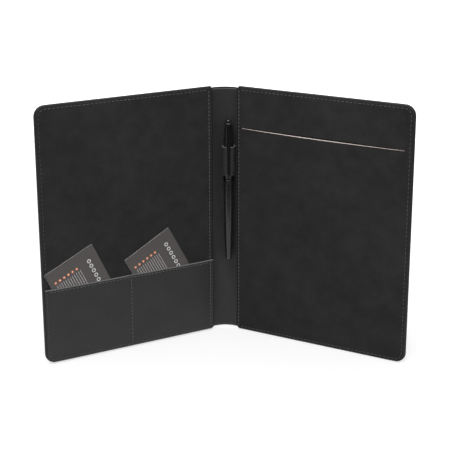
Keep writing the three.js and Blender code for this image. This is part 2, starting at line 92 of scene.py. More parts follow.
class Cover:
    """One cover's own directions: across from its fold line, back through its thickness, and up."""

    def __init__(self, label, side):
        joint = JOINTS[f"{label}_cover_fold"]
        turn = math.radians(-joint["range_deg"][0])
        self.label = label
        self.side = side
        self.fold = np.array([joint["pos_m"][0], joint["pos_m"][1], 0.0])
        self.across = np.array([side * math.cos(turn), -math.sin(turn), 0.0])
        self.back = np.array([side * math.sin(turn), math.cos(turn), 0.0])
        self.body = f"{label}_cover"

    def place(self, across, depth, up):
        """World points of across, depth and up, which are arrays of one shape."""
        across, depth, up = np.broadcast_arrays(across, depth, up)
        return (
            self.fold
            + across[..., None] * self.across
            + depth[..., None] * self.back
            + up[..., None] * UP
        )


LEFT = Cover("left", -1)
RIGHT = Cover("right", 1)
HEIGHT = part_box("left_cover_skin")[1].z
WIDTH = spread("right_cover_skin", RIGHT.fold, RIGHT.across)[1]
COVER_BACK = spread("right_cover_skin", RIGHT.fold, RIGHT.back)[1]
LINING_FACE, LINING_BACK = spread("right_lining", RIGHT.fold, RIGHT.back)
POCKET_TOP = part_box("card_pocket")[1].z
CARD_FACE, CARD_BACK = spread("outer_card", LEFT.fold, LEFT.back)

CORNER = 10 * MM
LINING_INSET = 1.8 * MM
STITCH_INSET = 3.4 * MM
SEAM_AT = {"left": 3.5 * MM, "right": 1.6 * MM}
LINING_START = 0.25 * MM
POCKET_START = 0.05 * MM
SPINE_LINING_MARGIN = 0.9 * MM
DIVIDER_AT = 87 * MM
OUTER_SEAM_SHIFT = 1.2 * MM
OUTER_CHANNEL = 0.16 * MM
PUFF_SUNK = 0.6
HEM_STITCH = 2.2 * MM
POCKET_WALL = 0.8 * MM
LOOP_LEATHER = 0.9 * MM
SPINE_SKIN = 0.9 * MM
SPINE_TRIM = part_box("spine_cover")[0].z
SPINE_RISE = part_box("spine_cover")[1].y - RIGHT.fold[1] - SPINE_SKIN / 2
SPINE_RADIUS = (RIGHT.fold[0] ** 2 + SPINE_RISE**2) / (2 * SPINE_RISE)
SPINE_CENTRE = RIGHT.fold[1] + SPINE_RISE - SPINE_RADIUS
HALF_SPINE = SPINE_RADIUS * math.asin(RIGHT.fold[0] / SPINE_RADIUS)
SPINE_LINING_DEPTH = -1.25 * MM
SLIT_START = 5.2 * MM
SLIT_END = 165.5 * MM
SLIT_HEIGHT = 201 * MM
SLIT_DROP = 1.5 * MM
PEN_AXIS = np.array([*(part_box("barrel")[0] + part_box("barrel")[1])[:2], 0.0]) / 2


# Curves and grids


def mm(*lengths):
    """Lengths given in millimetres, as metres."""
    return tuple(length * MM for length in lengths)


def smoothstep(low, high, x):
    """0 below low, 1 above high, and 3q² - 2q³ between them."""
    q = np.clip((x - low) / (high - low), 0, 1)
    return q * q * (3 - 2 * q)


def hump(x, centre, width):
    """A bell of height 1: exp(-((x - centre) / width)²)."""
    return np.exp(-(((x - centre) / width) ** 2))


def rolled(distance, radius):
    """A quarter-round edge: 0 at the edge, 1 from radius inwards, on a circle between them."""
    q = np.clip(1 - distance / radius, 0, 1)
    return np.sqrt(1 - q * q)


def stations(start, stop, step, fine_start=(), fine_stop=()):
    """Rising values from start to stop, with closer ones at the given distances from either end."""
    near = [start + d for d in fine_start]
    far = [stop - d for d in fine_stop]
    low, high = max(near, default=start), min(far, default=stop)
    count = max(int(round((high - low) / step)), 1)
    return np.array(sorted({round(v, 7) for v in [*near, *np.linspace(low, high, count + 1), *far]}))


EDGE_STEPS = mm(0, 0.06, 0.18, 0.36, 0.6, 0.9, 1.25, 1.6, 2.0, 2.4, 2.8, 3.2, 3.6, 4.0, 4.5, 5.2, 6.4, 8.2)


def low_edge(across, inset=0.0):
    """Height of a cover's bottom outline at across: straight, then a circular corner, and a
    small step up to the spine, which is trimmed shorter."""
    radius = CORNER - inset
    into = np.clip(across - (WIDTH - inset - radius), 0, radius)
    corner = radius - np.sqrt(np.maximum(radius**2 - into**2, 0))
    trim = SPINE_TRIM * (1 - smoothstep(-0.6 * MM, 0.8 * MM, across))
    return inset + corner + trim


def edge_distance(across, up, inset=0.0):
    """Distance inwards from the outline: the least of the straight edges' distances, and
    radius minus the distance from the corner's centre inside a corner."""
    radius = CORNER - inset
    level = np.minimum(up, HEIGHT - up)
    straight = np.minimum(level - low_edge(across, inset), WIDTH - inset - across)
    u = across - (WIDTH - inset - radius)
    v = (inset + radius) - level
    round_part = radius - np.hypot(np.maximum(u, 0), np.maximum(v, 0))
    return np.maximum(np.where((u > 0) & (v > 0), round_part, straight), 0)


def cover_grid(across, inset=0.0):
    """Across and up on a grid whose first and last rows follow the outline."""
    low = low_edge(across, inset)
    share = stations(0, HEIGHT, 8 * MM, EDGE_STEPS, EDGE_STEPS) / HEIGHT
    middle = share[None, :] * (HEIGHT - 2 * low[:, None]) + low[:, None]
    return np.broadcast_to(across[:, None], middle.shape), middle


def slab(front, back, keep=None):
    """Faces of a closed sheet between two grids of points: both grids' cells, and a wall on
    every edge that only one cell has. keep masks the cells that exist."""
    rows, columns = front.shape[:2]
    index = np.arange(rows * columns).reshape(rows, columns)
    cells = np.stack([index[:-1, :-1], index[1:, :-1], index[1:, 1:], index[:-1, 1:]], -1)
    cells = cells.reshape(-1, 4) if keep is None else cells[keep]
    edges = np.concatenate([cells[:, [k, (k + 1) % 4]] for k in range(4)])
    key = edges.min(1) * rows * columns + edges.max(1)
    _, first, counts = np.unique(key, return_index=True, return_counts=True)
    rim = edges[first[counts == 1]]
    total = rows * columns
    walls = np.stack([rim[:, 1], rim[:, 0], rim[:, 0] + total, rim[:, 1] + total], -1)
    points = np.concatenate([front.reshape(-1, 3), back.reshape(-1, 3)])
    return points, np.concatenate([cells, cells[:, ::-1] + total, walls]), len(walls)


def sheet_uv(first, second, shift=0.5):
    """One flat map for both sides of a sheet, with the second side shifted off the first."""
    uv = np.stack([first, second], -1).reshape(-1, 2)
    return np.concatenate([uv, uv + shift])


def tube_faces(rings, sides, count=1, closed_ends=True):
    """Faces of count tubes, each with rings of sides points, and with their ends closed."""
    ring, side = np.meshgrid(np.arange(rings - 1), np.arange(sides), indexing="ij")
    after = (side + 1) % sides
    this, following = ring * sides, (ring + 1) * sides
    one = np.stack([this + side, this + after, following + after, following + side], -1).reshape(-1, 4)
    offset = (np.arange(count) * rings * sides)[:, None, None]
    faces = [list(face) for face in (one + offset).reshape(-1, 4)]
    if closed_ends:
        for start in range(0, count * rings * sides, rings * sides):
            last = start + (rings - 1) * sides
            faces.append(list(range(start + sides - 1, start - 1, -1)))
            faces.append(list(range(last, last + sides)))
    return faces


def wall_slots(faces, walls):
    """Material slot 0 for both sides of a sheet, and 1 for its walls, which come last."""
    return (np.arange(len(faces)) >= len(faces) - walls).astype(int)


def path_run(path):
    """Length of a path up to each of its points."""
    return np.concatenate([[0], np.cumsum(np.linalg.norm(np.diff(path, axis=0), axis=1))])


def path_normals(path):
    """Unit normals of a flat path: its direction at each point, turned a quarter to the left."""
    step = np.gradient(path, axis=0)
    step = step / np.linalg.norm(step, axis=1)[:, None]
    return np.stack([-step[:, 1], step[:, 0]], -1)


def face_heights(points, faces):
    """Mean height of each face."""
    heights = points[:, 2]
    return np.array([heights[face].mean() for face in faces])


def signed_volume(points, faces):
    """Sum over fans of triangles of p · (q × r) / 6."""
    total = 0.0
    by_size = {}
    for face in faces:
        by_size.setdefault(len(face), []).append(face)
    for size, group in by_size.items():
        group = np.array(group)
        for k in range(1, size - 1):
            p, q, r = points[group[:, 0]], points[group[:, k]], points[group[:, k + 1]]
            total += np.einsum("ij,ij->", p, np.cross(q, r)) / 6
    return total


def facing_out(points, faces):
    """The faces of a closed surface, all turned to point out of it."""
    return [face[::-1] for face in faces] if signed_volume(points, faces) < 0 else faces


def make_piece(name, points, faces, uv=None, smooth_degrees=40, slots=None):
    """A mesh object at the origin from arrays of points and faces, turned to point outwards."""
    faces = [list(map(int, face)) for face in faces]
    points = np.asarray(points, float)
    used = np.unique(np.concatenate([np.array(face) for face in faces]))
    renumber = np.full(len(points), -1)
    renumber[used] = np.arange(len(used))
    faces = [[int(renumber[v]) for v in face] for face in faces]
    points = points[used]
    faces = facing_out(points, faces)
    mesh = bpy.data.meshes.new(name)
    mesh.from_pydata(points.tolist(), [], faces)
    mesh.polygons.foreach_set("use_smooth", np.ones(len(faces), bool))
    if uv is not None:
        layer = mesh.uv_layers.new(name="surface")
        corner_vertex = np.empty(len(mesh.loops), int)
        mesh.loops.foreach_get("vertex_index", corner_vertex)
        layer.data.foreach_set("uv", np.asarray(uv, float).reshape(-1, 2)[used][corner_vertex].ravel())
    if slots is not None:
        mesh.polygons.foreach_set("material_index", slots)
    mesh.update()
    mesh.set_sharp_from_angle(angle=math.radians(smooth_degrees))
    piece = bpy.data.objects.new(name, mesh)
    bpy.context.scene.collection.objects.link(piece)
    return piece


def finish_piece(piece, materials, slot, body, *nodes):
    """Gives a piece its materials, hides the CAD nodes it stands for, and lets it ride on its body
    where one is named. Its slot argument is not used."""
    for material in materials:
        piece.data.materials.append(material)
    if nodes:
        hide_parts(*nodes)
    if body:
        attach(piece, body)
    return piece


# Materials


class NodeTree:
    """A node tree under construction, with short ways to add and link its nodes."""

    def __init__(self, tree):
        self.nodes = tree.nodes
        self.links = tree.links

    def add(self, kind, inputs=None, **settings):
        node = self.nodes.new(kind)
        for key, value in settings.items():
            setattr(node, key, value)
        for key, value in (inputs or {}).items():
            if isinstance(value, bpy.types.NodeSocket):
                self.links.new(value, node.inputs[key])
            else:
                node.inputs[key].default_value = value
        return node

    def surface_uv(self):
        return self.add("ShaderNodeUVMap", uv_map="surface").outputs["UV"]

    def object_place(self):
        return self.add("ShaderNodeTexCoord").outputs["Object"]

    def noise(self, vector, scale, detail=3.0, roughness=0.55):
        inputs = {"Vector": vector, "Scale": scale, "Detail": detail, "Roughness": roughness}
        return self.add("ShaderNodeTexNoise", inputs).outputs["Fac"]

    def math(self, operation, first, second=0.0, third=0.0):
        inputs = {0: first, 1: second, 2: third}
        return self.add("ShaderNodeMath", inputs, operation=operation).outputs[0]

    def plus(self, first, second):
        return self.math("ADD", first, second)

    def minus(self, first, second):
        return self.math("SUBTRACT", first, second)

    def times(self, first, second):
        return self.math("MULTIPLY", first, second)

    def over(self, first, second):
        return self.math("DIVIDE", first, second)

    def above(self, value, limit):
        return self.math("GREATER_THAN", value, limit)

    def below(self, value, limit):
        return self.math("LESS_THAN", value, limit)

    def parts(self, vector):
        return self.add("ShaderNodeSeparateXYZ", {0: vector}).outputs

    def length(self, vector):
        return self.add("ShaderNodeVectorMath", {0: vector}, operation="LENGTH").outputs["Value"]

    def stretched(self, vector, scale):
        return self.add("ShaderNodeMapping", {"Vector": vector, "Scale": scale}).outputs[0]

    def spread(self, value, low, high, new_low=0.0, new_high=1.0):
        inputs = {"Value": value, "From Min": low, "From Max": high, "To Min": new_low, "To Max": new_high}
        return self.add("ShaderNodeMapRange", inputs).outputs["Result"]

    def mix(self, share, first, second):
        node = self.add("ShaderNodeMix", data_type="RGBA")
        for socket, value in ((node.inputs[0], share), (node.inputs[6], first), (node.inputs[7], second)):
            if isinstance(value, bpy.types.NodeSocket):
                self.links.new(value, socket)
            else:
                socket.default_value = value
        return node.outputs[2]

    def bump(self, height, distance, strength=1.0, before=None):
        inputs = {"Height": height, "Distance": distance, "Strength": strength}
        if before is not None:
            inputs["Normal"] = before
        return self.add("ShaderNodeBump", inputs).outputs["Normal"]


class Finish(NodeTree):
    """A material under construction."""

    def __init__(self, name):
        self.material = bpy.data.materials.new(name)
        self.material.use_nodes = True
        super().__init__(self.material.node_tree)
        self.shader = self.nodes["Principled BSDF"]

    def output(self, **sockets):
        for key, value in sockets.items():
            socket = self.shader.inputs[key.replace("_", " ")]
            if isinstance(value, bpy.types.NodeSocket):
                self.links.new(value, socket)
            else:
                socket.default_value = value
        return self.material


def grey(level, warmth=0.0):
    """An opaque near-grey, with red raised and blue lowered by warmth."""
    return (level * (1 + warmth), level, level * (1 - warmth), 1.0)


def leather_finish(name, level, grain_scale, grain_depth, gloss=0.5):
    """Grained leather: cells of a Voronoi net raised between fine creases, two sizes of noise in
    its colour, and creases that shine a little less."""
    make = Finish(name)
    place = make.surface_uv()
    warp = make.noise(place, grain_scale * 0.35, 2.0)
    bent = make.add("ShaderNodeVectorMath", {0: place}, operation="SCALE")
    bent.inputs["Scale"].default_value = grain_scale
    moved = make.add("ShaderNodeVectorMath", {0: bent.outputs[0], 1: warp}, operation="ADD").outputs[0]
    cells = make.add("ShaderNodeTexVoronoi", {"Vector": moved, "Scale": 1.0}, feature="DISTANCE_TO_EDGE")
    pebble = make.spread(cells.outputs["Distance"], 0.0, 0.28)
    fine = make.noise(place, grain_scale * 4, 3.0)
    cloud = make.noise(place, 38.0, 4.0, 0.6)
    tone = make.plus(make.times(cloud, 0.55), make.times(pebble, 0.45))
    colour = make.mix(make.spread(tone, 0.25, 0.85), grey(level * 0.72), grey(level * 1.22))
    height = make.plus(pebble, make.times(fine, 0.35))
    normal = make.bump(height, grain_depth, 0.55)
    rough = make.spread(tone, 0.2, 0.9, gloss + 0.1, gloss - 0.07)
    return make.output(Base_Color=colour, Roughness=rough, Normal=normal, Specular_IOR_Level=0.24)


def smooth_leather(name, look, shade):
    """Smooth leather: the grain at two thirds of its size and half its depth."""
    return leather_finish(name, look.smooth_level * shade, look.grain * 1.5, 0.05 * MM)


def leather_edge(name, look, shade):
    """Painted cut edge of leather, with the grain at half its size and nearly flat. Its colour is kept
    light: it is the edge paint, and also a painted highlight along lit top edges.
    """
    return leather_finish(name, look.edge_and_highlight_level * shade, look.grain * 2.0, 0.03 * MM)


def suede_finish(name, level):
    """Suede: broad cloudy patches where the nap leans another way, short fibres in the colour
    and the bump, and a soft sheen."""
    make = Finish(name)
    place = make.surface_uv()
    patches = make.noise(place, 62.0, 5.0, 0.68)
    broad = make.noise(place, 14.0, 3.0, 0.5)
    fibre_place = make.stretched(place, (1.0, 0.42, 1.0))
    fibres = make.noise(fibre_place, 1500.0, 3.0, 0.7)
    nap = make.plus(make.times(patches, 0.62), make.times(broad, 0.38))
    shade = make.spread(nap, 0.34, 0.68)
    colour = make.mix(shade, grey(level * 0.70), grey(level * 1.36))
    speckle = make.spread(fibres, 0.35, 0.7)
    colour = make.mix(make.times(speckle, 0.28), colour, grey(level * 1.9))
    normal = make.bump(fibres, 0.12 * MM, 0.7)
    normal = make.bump(patches, 0.25 * MM, 0.4, normal)
    return make.output(
        Base_Color=colour, Roughness=0.93, Normal=normal, Specular_IOR_Level=0.1,
        Sheen_Weight=0.05, Sheen_Roughness=0.5, Sheen_Tint=grey(0.6),
    )


def raw_edge_finish():
    """Cut edge of the suede: pale pinkish fibres with small dark gaps."""
    make = Finish("raw_suede_edge")
    place = make.object_place()
    fibres = make.noise(place, 900.0, 4.0, 0.7)
    colour = make.mix(make.spread(fibres, 0.3, 0.7), (0.52, 0.42, 0.39, 1), (0.84, 0.74, 0.71, 1))
    return make.output(Base_Color=colour, Roughness=0.9, Normal=make.bump(fibres, 0.15 * MM, 0.6))


def thread_finish(level):
    """Twisted sewing thread: strands slanted round each stitch, from its own lengthwise map."""
    make = Finish("sewing_thread")
    place = make.surface_uv()
    parts = make.parts(place)
    slant = make.plus(make.times(parts[0], 3.0), parts[1])
    strand = make.math("SINE", make.times(slant, 2 * math.pi))
    fuzz = make.noise(make.object_place(), 2500.0, 2.0)
    colour = make.mix(make.spread(strand, -1.0, 1.0), grey(level * 0.6), grey(level * 1.15))
    colour = make.mix(make.times(fuzz, 0.25), colour, grey(level * 1.5))
    return make.output(
        Base_Color=colour, Roughness=0.7, Normal=make.bump(strand, 0.08 * MM, 0.6), Specular_IOR_Level=0.35
    )


def lacquer_finish(name, level, rough, coat=0.2):
    """Black lacquer on metal: faint turning lines and dust in its gloss, under a clear coat."""
    make = Finish(name)
    place = make.object_place()
    drawn = make.stretched(place, (1.0, 1.0, 0.06))
    lines = make.noise(drawn, 1800.0, 3.0)
    dust = make.noise(place, 420.0, 4.0, 0.65)
    colour = make.mix(make.spread(dust, 0.4, 0.75), grey(level * 0.8), grey(level * 1.5))
    gloss = make.spread(lines, 0.3, 0.7, rough - 0.05, rough + 0.07)
    return make.output(
        Base_Color=colour, Roughness=gloss, Normal=make.bump(lines, 0.01 * MM, 0.4),
        Coat_Weight=coat, Coat_Roughness=0.1, Specular_IOR_Level=0.36,
    )


def metal_finish(name, colour, rough, turned=True):
    """Plated or plain metal with fine lines round its axis or along it, and slight wear."""
    make = Finish(name)
    place = make.object_place()
    scale = (0.05, 0.05, 1.0) if turned else (1.0, 1.0, 0.05)
    drawn = make.stretched(place, scale)
    lines = make.noise(drawn, 5200.0, 3.0)
    wear = make.noise(place, 300.0, 4.0)
    tint = tuple(c * 1.35 for c in colour)
    mixed = make.mix(make.spread(wear, 0.45, 0.75), (*colour, 1), (*tint, 1))
    gloss = make.spread(lines, 0.3, 0.7, rough - 0.06, rough + 0.08)
    return make.output(
        Base_Color=mixed, Metallic=1.0, Roughness=gloss, Normal=make.bump(lines, 0.01 * MM, 0.3)
    )


def plastic_finish(name, level, rough):
    """Moulded plastic with a fine even texture."""
    make = Finish(name)
    place = make.object_place()
    texture = make.noise(place, 2600.0, 3.0)
    tone = make.noise(place, 120.0, 3.0)
    colour = make.mix(tone, grey(level * 0.85), grey(level * 1.15))
    return make.output(Base_Color=colour, Roughness=rough, Normal=make.bump(texture, 0.02 * MM, 0.4))


def foam_finish():
    """Open foam sheet: small dark pores in soft grey."""
    make = Finish("foam_sheet")
    place = make.object_place()
    pores = make.add("ShaderNodeTexVoronoi", {"Vector": place, "Scale": 1400.0}).outputs["Distance"]
    colour = make.mix(make.spread(pores, 0.1, 0.6), grey(0.16), grey(0.34))
    return make.output(Base_Color=colour, Roughness=0.95, Normal=make.bump(pores, 0.2 * MM, 0.6))


def board_finish():
    """Grey board: long pale fibres and flecks pressed flat."""
    make = Finish("pressed_board")
    place = make.object_place()
    long_way = make.stretched(place, (1.0, 1.0, 0.3))
    fibres = make.noise(long_way, 700.0, 5.0, 0.7)
    colour = make.mix(make.spread(fibres, 0.3, 0.7), grey(0.17, 0.12), grey(0.30, 0.14))
    return make.output(Base_Color=colour, Roughness=0.88, Normal=make.bump(fibres, 0.06 * MM, 0.5))


def card_finish(name, shift):
    """Printed card: a dark ground, thin grey rules of uneven length in its middle, an orange square
    with a pale heart beside every second rule, and a row of grey rings beyond. Millimetres on
    the card."""
    make = Finish(name)
    place = make.surface_uv()
    parts = make.parts(place)
    across = make.times(parts[0], 1000.0)
    along = make.times(parts[1], 1000.0)

    def between(value, low, high):
        return make.times(make.above(value, low), make.below(value, high))

    pitch = 2.3
    line = make.math("FLOOR", make.over(across, pitch))
    phase = make.math("FRACT", make.over(across, pitch))
    chance = make.add("ShaderNodeTexWhiteNoise", {"W": make.plus(line, shift)}, noise_dimensions="1D")
    reach = make.spread(chance.outputs["Value"], 0.0, 1.0, 27.0, 43.0)
    broken = make.above(make.noise(place, 1500.0, 1.0), 0.42)
    rows = between(across, 4.6, 32.2)
    rule = make.times(between(phase, 0.36, 0.66), rows)
    rule = make.times(rule, make.times(make.above(along, 15.5), broken))
    rule = make.times(rule, make.below(along, reach))
    pair = make.over(across, 2 * pitch)
    side = make.times(make.minus(make.math("FRACT", pair), 0.25), 2 * pitch)
    offset = make.minus(along, 12.6)
    away = make.math("MAXIMUM", make.math("ABSOLUTE", side), make.math("ABSOLUTE", offset))
    square = make.times(make.below(away, 1.1), rows)
    heart = make.times(make.below(away, 0.5), rows)
    turn = make.minus(make.math("FRACT", make.over(along, 5.2)), 0.5)
    from_ring = make.add("ShaderNodeCombineXYZ", {0: make.times(turn, 5.2), 1: make.minus(across, 42.0)})
    radius = make.length(from_ring.outputs[0])
    ring = make.times(between(radius, 1.1, 1.9), between(along, 10.4, 52.0))
    mottle = make.noise(place, 500.0, 3.0)
    ground = make.mix(mottle, (0.074, 0.067, 0.065, 1), (0.097, 0.089, 0.086, 1))
    colour = make.mix(make.times(rule, 0.8), ground, (0.55, 0.53, 0.53, 1))
    colour = make.mix(ring, colour, (0.78, 0.77, 0.76, 1))
    colour = make.mix(square, colour, (0.83, 0.26, 0.10, 1))
    colour = make.mix(heart, colour, (0.90, 0.72, 0.62, 1))
    return make.output(
        Base_Color=colour, Roughness=0.52, Normal=make.bump(mottle, 0.02 * MM, 0.4), Specular_IOR_Level=0.4
    )


def paper_edge_finish():
    """Cut edge of the card stock."""
    make = Finish("card_edge")
    layers = make.noise(make.object_place(), 3000.0, 2.0)
    return make.output(Base_Color=make.mix(layers, grey(0.40), grey(0.62)), Roughness=0.8)


# Settings


class FolderLeather(bpy.types.PropertyGroup):
    outer_level: bpy.props.FloatProperty(
        name="Outer leather", description="Brightness of the outer leather", default=0.023, min=0, max=1
    )
    smooth_level: bpy.props.FloatProperty(
        name="Smooth leather", description="Brightness of pocket, spine and loop", default=0.039,
        min=0, max=1,
    )
    suede_level: bpy.props.FloatProperty(
        name="Suede", description="Brightness of the suede linings", default=0.0245, min=0, max=1
    )
    # Edge paint made light enough to serve as a painted highlight along lit top edges, as well as the real
    # edge paint.
    edge_and_highlight_level: bpy.props.FloatProperty(
        name="Painted edge", description="Brightness of the painted leather edges", default=0.11,
        min=0, max=1,
    )
    grain: bpy.props.FloatProperty(
        name="Grain", description="Cells of leather grain in a metre", default=950.0, min=50
    )
    puff: bpy.props.FloatProperty(
        name="Padding", description="How far the padded outside swells", default=0.35 * MM, unit="LENGTH"
    )
    pocket_swell: bpy.props.FloatProperty(
        name="Pocket swell", description="How far the pocket stands off its seams", default=0.95 * MM,
        unit="LENGTH",
    )
    lip_slant: bpy.props.FloatProperty(
        name="Slit cut", description="Height of the slit's pale slanted edge", default=0.54 * MM,
        unit="LENGTH",
    )
    lip_lift: bpy.props.FloatProperty(
        name="Slit lip", description="How far the slit's lower lip stands forward", default=0.9 * MM,
        unit="LENGTH",
    )


class FolderThread(bpy.types.PropertyGroup):
    level: bpy.props.FloatProperty(
        name="Thread", description="Brightness of the sewing thread", default=0.18, min=0, max=1
    )
    pitch: bpy.props.FloatProperty(
        name="Pitch", description="Distance from one stitch to the next", default=3.64 * MM, unit="LENGTH"
    )
    length: bpy.props.FloatProperty(
        name="Stitch length", description="Visible length of one stitch", default=2.95 * MM, unit="LENGTH"
    )
    radius: bpy.props.FloatProperty(
        name="Thread radius", description="Half the thread's thickness", default=0.24 * MM, unit="LENGTH"
    )


class FolderStage(bpy.types.PropertyGroup):
    floor: bpy.props.FloatVectorProperty(
        name="Floor", description="Colour of the floor", subtype="COLOR", default=(0.56, 0.56, 0.56)
    )
    near_glow: bpy.props.FloatProperty(
        name="Glow near", description="Floor's glow round the folder, weak enough to keep its shadow",
        default=0.48,
    )
    far_glow: bpy.props.FloatProperty(
        name="Glow far", description="Floor's glow further off, where a white background is due",
        default=0.75,
    )
    key_power: bpy.props.FloatProperty(
        name="Key light", description="Power of the soft light above", default=22.5, unit="POWER"
    )
    fill_level: bpy.props.FloatProperty(
        name="Room light", description="Strength of the even light from all round", default=0.42
    )
    mirror_level: bpy.props.FloatProperty(
        name="Room in reflections", description="Brightness of room and floor in glossy surfaces",
        default=0.16,
    )
    board_level: bpy.props.FloatProperty(
        name="Board in reflections", description="Brightness of the near floor in glossy surfaces",
        default=1.0,
    )


# Leather


def on_spine(along, depth, up):
    """World points on the spine's arc: (reach sin a, centre + reach cos a, up), where a is along
    over the radius and reach is the radius plus depth."""
    angle = along / SPINE_RADIUS
    reach = SPINE_RADIUS + depth
    return np.stack([reach * np.sin(angle), SPINE_CENTRE + reach * np.cos(angle), up], -1)


def leather_path(cover, along, depth, up):
    """World points of a sheet that runs from the spine's middle to a cover's outer edge. along is
    measured over the spine's arc and on across the cover; near the fold line the arc's points
    and the flat cover's points are mixed smoothly."""
    along, depth, up = np.broadcast_arrays(along, depth, up)
    arc = on_spine(cover.side * along, depth, up)
    flat = cover.place(along - HALF_SPINE, depth, up)
    share = smoothstep(HALF_SPINE - 2.5 * MM, HALF_SPINE + 2.5 * MM, along)[..., None]
    return arc * (1 - share) + flat * share


def bend_with(piece):
    """Bakes a piece's transform into its mesh."""
    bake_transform(piece)


def outer_leather(cover, settings, material, *nodes):
    """One cover's leather from the middle of the spine to the outer edge, with rolled edges. Depth
    follows the distance from the outline: a quarter round on each face, a sewn channel at the
    stitch line, a padded swell in the middle and a groove beside the fold line."""
    across = np.concatenate([
        np.linspace(-HALF_SPINE, -4 * MM, 16),
        np.linspace(-3.5 * MM, 6 * MM, 24),
        stations(8 * MM, WIDTH, 8 * MM, (), EDGE_STEPS),
    ])
    u, z = cover_grid(across)
    e = edge_distance(u, z)
    on_cover = smoothstep(-1.5 * MM, 3.5 * MM, u)
    channel = hump(e, STITCH_INSET, 0.8 * MM) + hump(u, SEAM_AT[cover.label] + OUTER_SEAM_SHIFT, 0.9 * MM)
    swell = smoothstep(4 * MM, 30 * MM, e) * smoothstep(6 * MM, 30 * MM, u)
    face = SPINE_SKIN / 2 + (COVER_BACK - SPINE_SKIN / 2) * on_cover
    face = face - OUTER_CHANNEL * channel * on_cover + settings.puff * (swell - PUFF_SUNK) * on_cover
    inside = -SPINE_SKIN / 2 + (LINING_BACK + SPINE_SKIN / 2) * on_cover
    middle = (face + inside) / 2
    outside = middle + (face - middle) * np.maximum(rolled(e, 1.7 * MM * on_cover + 0.4 * MM), 0.06)
    inner = middle + (inside - middle) * np.maximum(rolled(e, 1.1 * MM * on_cover + 0.4 * MM), 0.06)
    along = u + HALF_SPINE
    points, faces, _ = slab(leather_path(cover, along, outside, z), leather_path(cover, along, inner, z))
    piece = make_piece(f"{cover.label}_leather", points, faces, sheet_uv(cover.side * along, z), 60)
    finish_piece(piece, [material], "outer_leather", None, *nodes)
    bend_with(piece)
    return piece


def spine_lining(materials):
    """The smooth strip inside the spine, on the spine's arc, with rounded long edges, light cut ends
    whose edge paint is also a painted highlight along the lit top edge, and a soft crease across it near
    the top."""
    low = SPINE_TRIM + 1.3 * MM
    half = HALF_SPINE - SPINE_LINING_MARGIN
    s = np.linspace(-half, half, 40)
    z = stations(low, HEIGHT - low, 4 * MM, EDGE_STEPS, EDGE_STEPS)
    s, z = np.meshgrid(s, z, indexing="ij")
    e = np.minimum(np.minimum(z - low, HEIGHT - low - z), half - abs(s))
    crease = 0.34 * MM * hump(z, HEIGHT - 10.5 * MM, 1.0 * MM)
    crease = crease - 0.2 * MM * hump(z, HEIGHT - 13.2 * MM, 1.8 * MM)
    back = np.full_like(s, -SPINE_SKIN / 2 - 0.05 * MM)
    front = back + (SPINE_LINING_DEPTH - back) * np.maximum(rolled(e, 0.7 * MM), 0.2)
    front = front + crease * smoothstep(0, 4 * MM, e)
    points, faces, _ = slab(on_spine(s, front, z), on_spine(s, back, z))
    from_middle = abs(face_heights(points, faces) - HEIGHT / 2)
    # Slot 1, the strip's cut ends, takes the light edge paint, a painted highlight along the lit top edge.
    ends = (from_middle > HEIGHT / 2 - low - 0.6 * MM).astype(int)
    piece = make_piece("spine_inside", points, faces, sheet_uv(s, z), 60, ends)
    return finish_piece(piece, materials, "smooth_leather", "spine", "spine_lining")


def stitch_channels(u, z, seam_at):
    """Bells of height 1 along the stitches round the outline and along the seam."""
    return hump(edge_distance(u, z), STITCH_INSET, 0.7 * MM) + hump(u, seam_at, 0.6 * MM)


def lining_depth(cover, u, z):
    """Front of a suede lining: flat, rounded at its cut edge, and drawn in along its stitches."""
    e = np.minimum(edge_distance(u, z, LINING_INSET), np.maximum(u - LINING_START, 0))
    drawn = 0.14 * MM * stitch_channels(u, z, SEAM_AT[cover.label])
    edge = np.maximum(rolled(e, 0.45 * MM), 0.35)
    return LINING_BACK + (LINING_FACE - LINING_BACK) * edge + drawn


def slit_lips(u):
    """Heights of the slit's lower and upper lip: a straight line that drops towards the outer
    edge, opened by a sine-shaped gap."""
    share = np.clip((u - SLIT_START) / (SLIT_END - SLIT_START), 0, 1)
    middle = SLIT_HEIGHT - SLIT_DROP * share
    gap = 0.5 * MM + 0.8 * MM * np.sin(np.pi * share) ** 0.7
    return middle - gap / 2, middle + gap / 2


